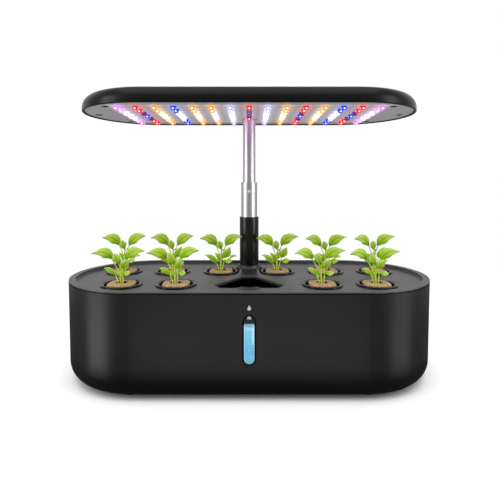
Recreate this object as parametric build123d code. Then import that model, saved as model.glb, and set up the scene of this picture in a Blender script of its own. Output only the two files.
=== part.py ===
from build123d import *
import math
import os

# Countertop hydroponic garden. Millimetres, +Z up, +X along the long side, -Y is the front with the
# water gauge. The origin is on the table, under the centre of the base.

# ---- Reservoir
base_length = 358.0  # long side of the stadium outline
base_width = 153.0  # short side, which is the diameter of both round ends
base_height = 95.6  # table to the top of the lid's rim
side_draft = 1.3  # degrees that the reservoir's sides lean in towards the table
shell_wall = 2.6
shell_floor = 3.0
bottom_round = 18.0
ledge_drop = 5.4  # reservoir's top edge down to the ledge that carries the lid
ledge_width = 4.6
ledge_thickness = 2.0

# ---- Feet
foot_height = 1.6  # what the feet lift the shell off the table
foot_radius = 7.0
foot_recess = 0.8
foot_fit = 0.15
foot_chamfer = 0.4
foot_inset_x = 73.4  # base's end to the foot's centre
foot_inset_y = 24.5

# ---- Planting deck, which is the lid
lip_height = 1.2  # the lid's visible edge
shadow_gap = 1.0  # between that edge and the reservoir's top edge
lip_round = 0.5
rim_width = 6.5
rim_round = 0.8
deck_recess = 3.0
deck_thickness = 2.8
lid_clearance = 0.4

# ---- Planting pods
front_row_gap = 13.0  # flange's edge to the rim, along Y
front_row_end_gap = 34.0  # outer flange's edge to the rim, along X
front_row_pitch = 51.0
back_row_y = 21.3
back_row_end_gap = 19.0
pod_pole_gap = 0.8  # between the inner pods' flanges and the pole, along X
flange_width = 2.4  # beyond the basket's body
flange_lip = 1.0  # flange's inner edge inside the basket's outer face
flange_height = 1.5
seat_clearance = 0.6  # between a flange and the mound that it stands beside
basket_top_radius = 16.6
basket_taper = 4.2  # smaller radius at the bottom
basket_depth = 42.0  # deck's top face to the basket's bottom face
basket_wall = 1.2
basket_fit = 0.4
flange_round = 0.6
slot_width = 5.0
slot_count = 6
slot_margin = 9.0  # solid band left above and below the slots
sponge_gap = 2.0  # all round at the basket's mouth
sponge_bottom_gap = 0.6
sponge_proud = 1.0  # above the flange
sponge_round = 3.0
dimple_radius = 3.0
dimple_depth = 6.0
stem_radius = 1.6
crown_radius = 21.0
crown_start = 9.0  # heights above the flange
crown_widest = 26.0
crown_top = 38.5
crown_top_radius = 14.5

# ---- Water-fill opening, as the right half of its outline from the back edge to the front edge
fill_outline = [(6.5, 0.5), (32.5, -37.0), (26.5, -49.0), (11.0, -49.0), (7.0, -40.7)]
fill_corner_radii = [6.0, 3.5, 6.0, 4.0, 3.0]
fill_edge_chamfer = 0.8
chamfer_angle = 45.0
scoop_half_width = 9.5
scoop_depth = 1.5

# ---- Pole
pole_y = 33.0
top_tube_radius = 6.9
top_tube_wall = 0.9
top_tube_length = 132.2
upper_bush_wall = 0.85
middle_tube_wall = 1.0
middle_tube_length = 110.0
middle_tube_out = 38.4  # drawn out of the base tube as the pole stands
lower_bush_wall = 0.55
base_tube_wall = 1.0
base_tube_length = 117.3
base_tube_out = 58.7  # above the deck
tube_edge_round = 0.4
bush_length = 24.0
bush_fit = 0.05  # running clearance, radial
rivet_drop = 10.2  # middle tube's mouth down to the rivet
rivet_head_radius = 1.5
rivet_head_height = 0.5
rivet_shank_radius = 0.9
rivet_tip_gap = 0.4  # between the shank's tip and the top tube

# ---- Pole socket in the deck
socket_fit = 0.05
socket_wall = 3.0
socket_floor = 2.0
collar_land = 1.6  # collar's flat top around the base tube
collar_height = 6.2  # above the deck
flare_width = 6.5
ramp_end_y = 2.2  # front foot of the ramp that runs from the collar to the fill opening
ramp_foot_half_width = 12.5
ramp_ridge_half_width = 8.0
ramp_drop = 0.9  # collar's top down to the start of the ramp
ramp_step = 0.1  # left at the ramp's front foot

# ---- Lamp
lamp_length = 334.0
lamp_width = 139.0
lamp_above_tube = 68.0  # middle tube's mouth to the lamp's lower edge
lamp_height = 16.2
lamp_wall = 2.0
lamp_round = 13.0
lamp_rim_chamfer = 0.5
lamp_ledge = 1.8
board_recess = 1.0
board_thickness = 1.6
board_gap = 0.7
board_hole_fit = 1.0
led_columns = ["VVVVVVV", "RRVBVRR", "OOOOOOO", "BBWWWBB", "OOOOOOO", "OOVVVOO", "WWWWWWW", "RWWVR-R"]
led_columns += ["WWWWWWW", "OOOOOOO", "RRVBVRR", "OOOOOOO", "BBWWWBB", "RRVBVRR", "VVVVVVV"]
led_groups = {"R": "leds_red", "B": "leds_blue", "W": "leds_white", "O": "leds_amber", "V": "leds_violet"}
led_end_margin = 45.2  # lamp's end to the first column
led_side_margin = 23.0
led_radius = 2.9
led_height = 4.0
led_round = 2.6
screw_insets = [(34.0, -44.0), (12.0, 2.0), (34.0, 44.0)]  # from the lamp's end, and from its middle
screw_head_radius = 3.4
screw_head_height = 1.2
screw_head_rim = 0.2
screw_shank_radius = 1.3
screw_length = 7.0
screw_fit = 0.1
cross_width = 0.8
cross_length = 3.4
cross_depth = 0.7
boss_radius = 3.6

# ---- Pole bracket in the lamp
bracket_lift = 0.6  # above the light board
bracket_wall = 2.2
bracket_flange_width = 8.4  # beyond the sleeve
bracket_standoff = 3.1  # light board to the flange
bracket_flange_thickness = 2.2
bracket_shoulder = 1.4
bracket_screw_offset = 3.8  # sleeve's outer face to a screw's centre
bracket_fit = 0.05

# ---- Lamp's driver and its push button
driver_y = -34.0
driver_length = 64.0
driver_width = 30.0
driver_standoff = 2.7  # light board to the driver board
driver_thickness = 1.6
driver_post_x = 27.0
driver_post_y = 10.5
driver_post_radius = 2.4
switch_size = 6.0
switch_height = 3.9
plunger_radius = 1.7
plunger_height = 0.5
button_radius = 7.0
button_fit = 0.2
button_sunk = 0.3
button_flange_radius = 8.8
button_flange_thickness = 1.2
button_stem_radius = 2.2
button_travel = 0.8
button_rest_gap = 0.1  # left above the plunger when the button is fully pressed
capacitor_radius = 2.5
capacitor_height = 5.0
connector_size = (7.0, 5.0, 4.0)

# ---- Water gauge in the front wall
gauge_drop = 17.4  # reservoir's top edge to the gauge's upper end
gauge_rise = 31.3  # reservoir's bottom to the gauge's lower end
gauge_width = 11.4
gauge_bezel = 1.0
gauge_proud = 0.3
gauge_lens_sunk = 0.4
gauge_lens_thickness = 1.8
gauge_lens_round = 0.3
gauge_bezel_round = 0.3
gauge_shelf = 0.4
gauge_depth = 9.0  # reservoir wall's outer face to the back of the gauge's chamber
gauge_back = 1.2
gauge_fit = 0.1
gauge_flange = 3.4
gauge_flange_thickness = 1.5
gasket_thickness = 1.0
gauge_port_radius = 1.5
gauge_port_inset = 9.0

# ---- Power socket in the back wall
power_x = -60.0
power_drop = 16.2  # reservoir's top edge to the socket's centre
power_flange_radius = 7.6
power_flange_thickness = 1.0
power_recess = 1.9
power_recess_fit = 0.5
power_barrel_radius = 5.6
power_barrel_length = 14.0
power_bore_radius = 2.8
power_bore_depth = 10.0
power_pin_radius = 1.0
power_nut_across = 14.0
power_nut_thickness = 2.5
power_pad_thickness = 2.0
power_pad_radius = 8.6
power_edge_round = 0.3
power_fit = 0.1

# ---- Circulation pump on the reservoir's floor
pump_x = -104.0  # face between the motor housing and the cover
pump_y = 0.0
cup_height = 3.0
cup_radius = 4.5
cup_neck_radius = 1.6
cup_inset = 6.0
pump_length = 32.0
pump_width = 30.0
pump_tall = 24.0
pump_round = 3.0
rotor_radius = 7.2
rotor_length = 17.0
rotor_well_radius = 8.0
rotor_well_depth = 20.0
pump_shaft_radius = 1.0
pump_shaft_seat = 2.0
shaft_fit = 0.05
rotor_disc_radius = 9.5
rotor_disc_thickness = 1.2
vane_count = 6
vane_height = 3.4
vane_thickness = 1.2
vane_start = 3.2
vane_tip_gap = 0.3
rotor_disc_gap = 0.8
volute_radius = 11.0
volute_depth = 7.0
cover_wall = 2.6
cover_length = 13.4
filter_margin = 2.6
filter_sunk = 0.2
inlet_slots = [-7.0, -3.6, 3.6, 7.0]
inlet_slot_width = 2.0
inlet_slot_tall = 10.0
nozzle_radius = 4.0
nozzle_bore_radius = 2.6
nozzle_height = 9.0
nozzle_offset = 0.3  # clear of the motor housing

# ---- Heights and places that follow from the sizes above
lip_bottom = base_height - lip_height
body_top = lip_bottom - shadow_gap
tank_floor = foot_height + shell_floor
ledge_top = body_top - ledge_drop
deck_top = base_height - deck_recess
deck_underside = deck_top - deck_thickness
foot_x = base_length / 2 - foot_inset_x
foot_y = base_width / 2 - foot_inset_y
gauge_top = body_top - gauge_drop
gauge_bottom = foot_height + gauge_rise
gauge_tall = gauge_top - gauge_bottom
gauge_middle = (gauge_top + gauge_bottom) / 2
power_z = body_top - power_drop

middle_tube_radius = top_tube_radius + bush_fit + upper_bush_wall + middle_tube_wall
base_tube_radius = middle_tube_radius + bush_fit + lower_bush_wall + base_tube_wall
base_tube_top = deck_top + base_tube_out
base_tube_bottom = base_tube_top - base_tube_length
middle_tube_top = base_tube_top + middle_tube_out
middle_tube_bottom = middle_tube_top - middle_tube_length
well_bottom = base_tube_bottom - socket_floor
collar_top = deck_top + collar_height
collar_radius = base_tube_radius + collar_land
flare_radius = collar_radius + flare_width

lamp_bottom = middle_tube_top + lamp_above_tube
lamp_top = lamp_bottom + lamp_height
roof_underside = lamp_top - lamp_wall
board_bottom = lamp_bottom + board_recess
board_top = board_bottom + board_thickness
led_pitch_x = (lamp_length - 2 * led_end_margin) / (len(led_columns) - 1)
led_pitch_y = (lamp_width - 2 * led_side_margin) / (len(led_columns[0]) - 1)
bracket_sleeve_radius = top_tube_radius + bracket_fit + bracket_wall
bracket_flange_bottom = board_top + bracket_standoff
bracket_flange_top = bracket_flange_bottom + bracket_flange_thickness
top_tube_top = bracket_flange_top - bracket_shoulder
top_tube_bottom = top_tube_top - top_tube_length
driver_bottom = board_top + driver_standoff
driver_top = driver_bottom + driver_thickness
switch_top = driver_top + switch_height + plunger_height
button_top = lamp_top - button_sunk

flange_radius = basket_top_radius + flange_width
flange_top = deck_top + flange_height
basket_bottom_radius = basket_top_radius - basket_taper
basket_bottom = deck_top - basket_depth
sponge_radius = basket_top_radius - basket_wall - sponge_gap
sponge_bottom_radius = basket_bottom_radius - basket_wall - sponge_bottom_gap
sponge_bottom = basket_bottom + basket_wall
sponge_top = flange_top + sponge_proud
deck_edge_x = base_length / 2 - rim_width - flange_radius
front_row_y = rim_width + flange_radius + front_row_gap - base_width / 2
front_row_x = [deck_edge_x - front_row_end_gap - front_row_pitch, deck_edge_x - front_row_end_gap]
inner_pod_x = base_tube_radius + flange_radius + pod_pole_gap
outer_pod_x = deck_edge_x - back_row_end_gap
back_row_x = [inner_pod_x, (inner_pod_x + outer_pod_x) / 2, outer_pod_x]
pod_places = [(side * x, front_row_y) for side in (-1, 1) for x in front_row_x]
pod_places += [(side * x, back_row_y) for side in (-1, 1) for x in back_row_x]
pod_places.sort(key=lambda place: (place[1], place[0]))

pump_bottom = tank_floor + cup_height
pump_top = pump_bottom + pump_tall
shaft_height = pump_bottom + pump_tall / 2
nozzle_x = pump_x + nozzle_radius + nozzle_offset
volute_back = pump_x + volute_depth
filter_seat = volute_back + cover_wall


def stadium_prism(length, width, bottom, top):
    """Upright prism with straight long sides and half-round ends."""
    return extrude(Plane.XY.offset(bottom) * SlotOverall(length, width), amount=top - bottom)


def drafted_stadium(length, width, bottom, top):
    """Stadium whose sides lean in by the draft, from its top face down to its bottom face."""
    looking_down = Plane(origin=(0, 0, top), x_dir=(1, 0, 0), z_dir=(0, 0, -1))
    return extrude(looking_down * SlotOverall(length, width), amount=top - bottom, taper=side_draft)


def inset(length, width, amount):
    """Length and width of a stadium that lies inside another by the same amount all round."""
    return length - 2 * amount, width - 2 * amount


def post(x, y, radius, bottom, top):
    """Upright cylinder between two heights."""
    return Pos(x, y, (bottom + top) / 2) * Cylinder(radius, top - bottom)


def tube(x, y, outer_radius, inner_radius, bottom, top):
    """Upright ring between two heights."""
    return post(x, y, outer_radius, bottom, top) - post(x, y, inner_radius, bottom, top)


def spun(points, x=0.0, y=0.0):
    """Solid turned about an upright axis, from its half section as radius and height pairs."""
    return Pos(x, y, 0) * revolve(Plane.XZ * make_face(Polyline(*points, close=True)), Axis.Z)


def block(x_range, y_range, z_range):
    """Box between three pairs of limits."""
    low = Vector(x_range[0], y_range[0], z_range[0])
    high = Vector(x_range[1], y_range[1], z_range[1])
    middle = (low + high) / 2
    size = high - low
    return Pos(middle.X, middle.Y, middle.Z) * Box(size.X, size.Y, size.Z)


def group(pieces):
    """Separate solids that share one node."""
    return Compound(children=list(pieces))


def edges_at(shape, height):
    """Edges that lie wholly at one height."""
    return shape.edges().filter_by_position(Axis.Z, height - 0.01, height + 0.01)


# ---------------------------------------------------------------- reservoir
def wall_face_y(z):
    """Distance of the reservoir's long outer faces from the middle plane at a height."""
    return base_width / 2 - (body_top - z) * math.tan(math.radians(side_draft))


def gauge_plane():
    """Plane on the front wall at the gauge's centre, with its normal pointing out and y up the wall."""
    lean = math.radians(side_draft)
    origin = (0, -wall_face_y(gauge_middle), gauge_middle)
    return Plane(origin=origin, x_dir=(1, 0, 0), z_dir=(0, -math.cos(lean), -math.sin(lean)))


def gauge_wall_inside():
    """Depth of the wall's inner face behind its outer face, square to the wall."""
    return -shell_wall * math.cos(math.radians(side_draft))


def gauge_prism(margin, back, front):
    """Upright stadium around the gauge's outline, between two depths from the wall's outer face."""
    outline = SlotOverall(gauge_tall + 2 * margin, gauge_width + 2 * margin, rotation=90)
    return extrude(gauge_plane().offset(back) * outline, amount=front - back)


def power_disc(radius, inner, outer):
    """Cylinder on the power socket's axis, between two distances from the middle plane."""
    axis_plane = Plane(origin=(power_x, inner, power_z), x_dir=(1, 0, 0), z_dir=(0, 1, 0))
    return extrude(axis_plane * Circle(radius), amount=outer - inner)


def power_seat_y():
    """Bottom of the round recess that the power socket's flange lies in."""
    return wall_face_y(power_z) - power_recess


def power_nut_face_y():
    """Inner face of the pad that thickens the wall behind the power socket."""
    return wall_face_y(power_z) - shell_wall - power_pad_thickness


def make_reservoir_shell():
    shell = drafted_stadium(base_length, base_width, foot_height, body_top)
    shell = fillet(edges_at(shell, foot_height), bottom_round)
    cavity = drafted_stadium(*inset(base_length, base_width, shell_wall), tank_floor, body_top)
    cavity = fillet(edges_at(cavity, tank_floor), bottom_round - shell_wall)
    ledge_bottom = ledge_top - ledge_thickness
    ledge = stadium_prism(*inset(base_length, base_width, shell_wall / 2), ledge_bottom, ledge_top)
    ledge_reach = shell_wall + ledge_width
    ledge -= stadium_prism(*inset(base_length, base_width, ledge_reach), ledge_bottom, ledge_top)
    seat_y = power_seat_y()
    shell = shell - cavity + ledge + power_disc(power_pad_radius, power_nut_face_y(), seat_y)
    for x in (-foot_x, foot_x):
        for y in (-foot_y, foot_y):
            shell -= post(x, y, foot_radius + foot_fit, foot_height, foot_height + foot_recess)
    shell -= gauge_prism(gauge_fit, -2 * shell_wall, shell_wall)
    shell -= power_disc(power_flange_radius + power_recess_fit, seat_y, base_width / 2)
    shell -= power_disc(power_barrel_radius + power_fit, seat_y - 3 * shell_wall, base_width / 2)
    return shell


def make_rubber_feet():
    feet = []
    for x in (-foot_x, foot_x):
        for y in (-foot_y, foot_y):
            foot = post(x, y, foot_radius, 0, foot_height + foot_recess)
            feet.append(chamfer(edges_at(foot, 0), foot_chamfer))
    return group(feet)


def make_gauge_housing():
    """Black bezel and chamber in one moulding, pushed out through the wall from inside."""
    housing = gauge_prism(0, -gauge_depth, gauge_proud)
    housing = fillet(housing.faces().sort_by(Axis.Y)[0].edges(), gauge_bezel_round)
    flange_front = gauge_wall_inside() - gasket_thickness
    housing += gauge_prism(gauge_flange, flange_front - gauge_flange_thickness, flange_front)
    housing -= gauge_prism(-gauge_bezel, gauge_back - gauge_depth, gauge_proud)
    lens_back = -gauge_lens_sunk - gauge_lens_thickness
    shelf = gauge_prism(-gauge_bezel, lens_back - gauge_shelf, lens_back)
    housing += shelf - gauge_prism(-gauge_bezel - gauge_shelf, lens_back - gauge_shelf, lens_back)
    for side in (-1, 1):
        port_centre = Pos(0, side * (gauge_tall / 2 - gauge_port_inset))
        port = gauge_plane().offset(-gauge_depth) * port_centre * Circle(gauge_port_radius)
        housing -= extrude(port, amount=gauge_back)
    return housing


def make_gauge_lens():
    lens = gauge_prism(-gauge_bezel - gauge_fit, -gauge_lens_sunk - gauge_lens_thickness, -gauge_lens_sunk)
    return fillet(lens.faces().sort_by(Axis.Y)[0].edges(), gauge_lens_round)


def make_gauge_gasket():
    front = gauge_wall_inside()
    gasket = gauge_prism(gauge_flange, front - gasket_thickness, front)
    return gasket - gauge_prism(gauge_fit, front - gasket_thickness, front)


def make_power_socket():
    """Round panel jack: flanged barrel with its centre contact, and the nut that holds it from inside."""
    seat_y = power_seat_y()
    front_y = seat_y + power_flange_thickness
    barrel = power_disc(power_flange_radius, seat_y, front_y)
    barrel = fillet(barrel.edges().sort_by(Axis.Y)[-1], power_edge_round)
    barrel += power_disc(power_barrel_radius, seat_y - power_barrel_length, seat_y)
    barrel -= power_disc(power_bore_radius, front_y - power_bore_depth, front_y)
    barrel += power_disc(power_pin_radius, front_y - power_bore_depth, front_y - power_flange_thickness)
    nut_front = power_nut_face_y()
    nut_back = nut_front - power_nut_thickness
    nut_plane = Plane(origin=(power_x, nut_back, power_z), x_dir=(1, 0, 0), z_dir=(0, 1, 0))
    hexagon = RegularPolygon(power_nut_across / 2, 6, major_radius=False)
    nut = extrude(nut_plane * hexagon, amount=power_nut_thickness)
    nut -= power_disc(power_barrel_radius + power_fit, nut_back, nut_front)
    return group([barrel, nut])


# ---------------------------------------------------------------- circulation pump
def along_x(radius, start, end):
    """Cylinder on the axis of the pump's shaft, between two places along X."""
    axis_plane = Plane(origin=(start, pump_y, shaft_height), x_dir=(0, 1, 0), z_dir=(1, 0, 0))
    return extrude(axis_plane * Circle(radius), amount=end - start)


def pump_block(start, end, margin=0.0):
    """Box along the pump's section, smaller than it by a margin all round."""
    half = pump_width / 2 - margin
    return block((start, end), (pump_y - half, pump_y + half), (pump_bottom + margin, pump_top - margin))


def cup_places():
    """Centres of the suction cups under the motor housing."""
    back_x = pump_x - pump_length
    half = pump_width / 2 - cup_inset
    return [(x, pump_y + side * half) for x in (back_x + cup_inset, pump_x - cup_inset) for side in (-1, 1)]


def make_pump_housing():
    body = pump_block(pump_x - pump_length, pump_x)
    body = fillet(body.edges().filter_by(Axis.X), pump_round)
    body -= along_x(rotor_well_radius, pump_x - rotor_well_depth, pump_x)
    body -= along_x(pump_shaft_radius, pump_x - rotor_well_depth - pump_shaft_seat, pump_x)
    for x, y in cup_places():
        body -= post(x, y, cup_neck_radius, pump_bottom, pump_bottom + cup_height / 2)
    return body


def make_pump_shaft():
    start = pump_x - rotor_well_depth - pump_shaft_seat
    return along_x(pump_shaft_radius, start, volute_back + cover_wall / 2)


def make_pump_impeller():
    """Magnet rotor with its vaned disc, turning on the ceramic shaft."""
    disc_start = pump_x + rotor_disc_gap
    disc_end = disc_start + rotor_disc_thickness
    rotor_start = pump_x - rotor_length
    rotor = along_x(rotor_radius, rotor_start, disc_start)
    rotor += along_x(rotor_disc_radius, disc_start, disc_end)
    vane = block(
        (disc_end, disc_end + vane_height),
        (pump_y - vane_thickness / 2, pump_y + vane_thickness / 2),
        (shaft_height + vane_start, shaft_height + rotor_disc_radius - vane_tip_gap),
    )
    shaft_axis = Axis((pump_x, pump_y, shaft_height), (1, 0, 0))
    for i in range(vane_count):
        rotor += vane.rotate(shaft_axis, 360 / vane_count * i)
    return rotor - along_x(pump_shaft_radius + shaft_fit, rotor_start, disc_end + vane_height)


def make_pump_cover():
    """Volute, inlet grille and outlet nozzle in one moulding, with a frame for the filter."""
    cover = pump_block(pump_x, pump_x + cover_length)
    cover = fillet(cover.edges().filter_by(Axis.X), pump_round)
    nozzle_top = pump_top + nozzle_height
    cover += post(nozzle_x, pump_y, nozzle_radius, pump_top - cover_wall, nozzle_top)
    cover -= along_x(volute_radius, pump_x, volute_back)
    cover -= pump_block(filter_seat, pump_x + cover_length, filter_margin)
    cover -= post(nozzle_x, pump_y, nozzle_bore_radius, shaft_height + volute_radius / 2, nozzle_top)
    for y in inlet_slots:
        slot_y = (pump_y + y - inlet_slot_width / 2, pump_y + y + inlet_slot_width / 2)
        slot_z = (shaft_height - inlet_slot_tall / 2, shaft_height + inlet_slot_tall / 2)
        cover -= block((volute_back, filter_seat), slot_y, slot_z)
    return cover - along_x(pump_shaft_radius, volute_back, volute_back + cover_wall / 2)


def make_pump_filter():
    return pump_block(filter_seat, pump_x + cover_length - filter_sunk, filter_margin + filter_sunk)


def make_pump_suction_cups():
    cups = []
    for x, y in cup_places():
        half_section = [
            (0, tank_floor),
            (cup_radius, tank_floor),
            (cup_neck_radius, pump_bottom - cup_height / 3),
            (cup_neck_radius, pump_bottom + cup_height / 2),
            (0, pump_bottom + cup_height / 2),
        ]
        cups.append(spun(half_section, x, y))
    return group(cups)


# ---------------------------------------------------------------- planting deck
def make_fill_cut():
    """What the chevron-shaped water-fill opening takes out of the deck, with its chamfered mouth."""
    left = [(-x, y) for x, y in reversed(fill_outline)]
    radii = fill_corner_radii + fill_corner_radii[::-1]
    outline = make_face(FilletPolyline(*fill_outline, *left, radius=radii, close=True))
    cut = extrude(Plane.XY.offset(deck_underside) * outline, amount=collar_top - deck_underside)
    mouth = Plane.XY.offset(deck_top - fill_edge_chamfer) * outline
    return cut + extrude(mouth, amount=2 * fill_edge_chamfer, taper=-chamfer_angle)


def make_pole_mound():
    """Flared collar around the pole, and the ramp from it down to the fill opening."""
    bend = ((collar_radius * 2 + flare_radius) / 3, deck_top + collar_height / 3)
    section = Polyline(
        (flare_radius, deck_top),
        (flare_radius, deck_underside),
        (0, deck_underside),
        (0, collar_top),
        (collar_radius, collar_top),
    )
    section += ThreePointArc((collar_radius, collar_top), bend, (flare_radius, deck_top))
    mound = Pos(0, pole_y, 0) * revolve(Plane.XZ * make_face(section), Axis.Z)
    ends = []
    for y, ridge_height in ((pole_y, collar_top - ramp_drop), (ramp_end_y, deck_top + ramp_step)):
        right = [(ramp_foot_half_width, deck_top), (ramp_ridge_half_width, ridge_height)]
        left = [(-x, z) for x, z in reversed(right)]
        base = [(-ramp_foot_half_width, deck_underside), (ramp_foot_half_width, deck_underside)]
        end_plane = Plane(origin=(0, y, 0), x_dir=(1, 0, 0), z_dir=(0, -1, 0))
        ends.append(end_plane * make_face(Polyline(*base, *right, *left, close=True)))
    return mound + loft(ends, ruled=True)


def make_planting_deck():
    deck = stadium_prism(base_length, base_width, lip_bottom, base_height)
    deck = fillet(edges_at(deck, base_height), lip_round)
    deck += stadium_prism(*inset(base_length, base_width, shell_wall + lid_clearance), ledge_top, lip_bottom)
    recess = stadium_prism(*inset(base_length, base_width, rim_width), deck_top, base_height)
    deck -= fillet(edges_at(recess, deck_top), rim_round)
    deck -= stadium_prism(*inset(base_length, base_width, rim_width), ledge_top, deck_underside)
    mound = make_pole_mound()
    for x, y in pod_places:
        mound -= post(x, y, flange_radius + seat_clearance, deck_top, collar_top + 1)
    deck += mound
    socket_radius = base_tube_radius + socket_fit
    deck += post(0, pole_y, socket_radius + socket_wall, well_bottom, deck_underside)
    for x, y in pod_places:
        deck -= post(x, y, basket_top_radius + basket_fit, deck_underside, deck_top)
    deck -= post(0, pole_y, socket_radius, base_tube_bottom, collar_top)
    deck -= make_fill_cut()
    scoop_radius = (scoop_half_width**2 + scoop_depth**2) / (2 * scoop_depth)
    scoop_end = base_width / 2 - rim_width
    scoop_plane = Plane(
        origin=(0, -scoop_end, deck_top + scoop_radius - scoop_depth), x_dir=(1, 0, 0), z_dir=(0, 1, 0)
    )
    return deck - extrude(scoop_plane * Circle(scoop_radius), amount=scoop_end + fill_outline[-1][1])


# ---------------------------------------------------------------- pole
def make_pole_tube(outer_radius, wall, bottom, top):
    shape = tube(0, pole_y, outer_radius, outer_radius - wall, bottom, top)
    rims = edges_at(shape, top).sort_by(SortBy.RADIUS)
    return fillet(rims[-1], tube_edge_round)


def make_pole_bush(inner_tube_radius, outer_radius, top):
    bottom = top - bush_length
    return tube(0, pole_y, outer_radius, inner_tube_radius + bush_fit, bottom, top - tube_edge_round)


def rivet_disc(radius, start, end):
    """Cylinder on the rivet's axis, between two distances in front of the pole's axis."""
    height = middle_tube_top - rivet_drop
    rivet_plane = Plane(origin=(0, pole_y - start, height), x_dir=(1, 0, 0), z_dir=(0, -1, 0))
    return extrude(rivet_plane * Circle(radius), amount=end - start)


def rivet_hole():
    return rivet_disc(rivet_shank_radius, top_tube_radius, middle_tube_radius + 1)


def make_middle_tube():
    shape = make_pole_tube(middle_tube_radius, middle_tube_wall, middle_tube_bottom, middle_tube_top)
    return shape - rivet_hole()


def make_upper_bush():
    shape = make_pole_bush(top_tube_radius, middle_tube_radius - middle_tube_wall, middle_tube_top)
    return shape - rivet_hole()


def make_bush_rivet():
    """Small domed rivet that holds the upper bush in the middle tube."""
    head = rivet_disc(rivet_head_radius, middle_tube_radius, middle_tube_radius + rivet_head_height)
    head = fillet(head.edges().sort_by(Axis.Y)[0], rivet_head_height / 2)
    shank_start = top_tube_radius + rivet_tip_gap
    shank = rivet_disc(rivet_shank_radius, shank_start, middle_tube_radius + rivet_head_height / 2)
    head -= post(0, pole_y, middle_tube_radius, middle_tube_bottom, middle_tube_top)
    return head + shank


# ---------------------------------------------------------------- lamp
def bracket_screw_places():
    places = []
    circle = bracket_sleeve_radius + bracket_screw_offset
    for i in range(3):
        angle = math.radians(90 + 120 * i)
        places.append((circle * math.cos(angle), pole_y + circle * math.sin(angle)))
    return places


def board_screw_places():
    return [(side * (lamp_length / 2 - inset_x), y) for side in (-1, 1) for inset_x, y in screw_insets]


def driver_post_places():
    return [(i * driver_post_x, driver_y + j * driver_post_y) for i in (-1, 1) for j in (-1, 1)]


def make_lamp_housing():
    housing = stadium_prism(lamp_length, lamp_width, lamp_bottom, lamp_top)
    housing = fillet(edges_at(housing, lamp_top), lamp_round)
    housing = chamfer(edges_at(housing, lamp_bottom), lamp_rim_chamfer)
    ledge_inset = lamp_wall + lamp_ledge
    hollow = stadium_prism(*inset(lamp_length, lamp_width, ledge_inset), board_top, roof_underside)
    housing -= fillet(edges_at(hollow, roof_underside), lamp_round - ledge_inset)
    housing -= stadium_prism(*inset(lamp_length, lamp_width, lamp_wall), lamp_bottom, board_top)
    into_roof = roof_underside + lamp_wall / 2
    for x, y in board_screw_places():
        housing += post(x, y, boss_radius, board_top, into_roof)
        housing -= post(x, y, screw_shank_radius, board_top, board_bottom + screw_length)
    for x, y in bracket_screw_places():
        housing += post(x, y, boss_radius, bracket_flange_top, into_roof)
        housing -= post(x, y, screw_shank_radius, bracket_flange_top, bracket_flange_bottom + screw_length)
    for x, y in driver_post_places():
        housing += post(x, y, driver_post_radius, driver_top, into_roof)
    return housing - post(0, driver_y, button_radius + button_fit, roof_underside, lamp_top)


def screw(x, y, face):
    """Countersunk screw driven upwards, with its head flush with the face."""
    half_section = [
        (0, face),
        (screw_head_radius, face),
        (screw_head_radius, face + screw_head_rim),
        (screw_shank_radius, face + screw_head_height),
        (screw_shank_radius, face + screw_length),
        (0, face + screw_length),
    ]
    shape = spun(half_section, x, y)
    shape -= Pos(x, y, face) * Box(cross_length, cross_width, 2 * cross_depth)
    return shape - Pos(x, y, face) * Box(cross_width, cross_length, 2 * cross_depth)


def countersink(x, y, face, thickness):
    """Space that a screw's head and shank take in a plate, with clearance."""
    half_section = [
        (0, face),
        (screw_head_radius + screw_fit, face),
        (screw_head_radius + screw_fit, face + screw_head_rim + screw_fit),
        (screw_shank_radius + screw_fit, face + screw_head_height + screw_fit),
        (screw_shank_radius + screw_fit, face + thickness),
        (0, face + thickness),
    ]
    return spun(half_section, x, y)


def make_lamp_screws():
    """Screws of one kind: six hold the light board, three hold the pole bracket."""
    screws = [screw(x, y, board_bottom) for x, y in board_screw_places()]
    screws += [screw(x, y, bracket_flange_bottom) for x, y in bracket_screw_places()]
    return group(screws)


def make_led_board():
    board = stadium_prism(*inset(lamp_length, lamp_width, lamp_wall + board_gap), board_bottom, board_top)
    for x, y in board_screw_places():
        board -= countersink(x, y, board_bottom, board_thickness)
    return board - post(0, pole_y, top_tube_radius + board_hole_fit, board_bottom, board_top)


def make_leds(letter):
    """Every light-emitting diode of one colour, as domed beads under the board."""
    bead = post(0, 0, led_radius, board_bottom - led_height, board_bottom)
    bead = fillet(edges_at(bead, board_bottom - led_height), led_round)
    beads = []
    first_x = -(len(led_columns) - 1) / 2 * led_pitch_x
    for i, column in enumerate(led_columns):
        first_y = -(len(column) - 1) / 2 * led_pitch_y
        for j, colour in enumerate(column):
            if colour == letter:
                beads.append(Pos(first_x + i * led_pitch_x, first_y + j * led_pitch_y, 0) * bead)
    return group(beads)


def make_pole_bracket():
    """Flanged socket that the top tube stands in, screwed to three bosses under the lamp's roof."""
    bracket = post(0, pole_y, bracket_sleeve_radius, board_top + bracket_lift, bracket_flange_bottom)
    flange_edge = bracket_sleeve_radius + bracket_flange_width
    bracket += post(0, pole_y, flange_edge, bracket_flange_bottom, bracket_flange_top)
    bracket -= post(0, pole_y, top_tube_radius + bracket_fit, board_top, top_tube_top)
    bracket -= post(0, pole_y, top_tube_radius - top_tube_wall, board_top, bracket_flange_top)
    for x, y in bracket_screw_places():
        bracket -= countersink(x, y, bracket_flange_bottom, bracket_flange_thickness)
    return bracket


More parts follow.
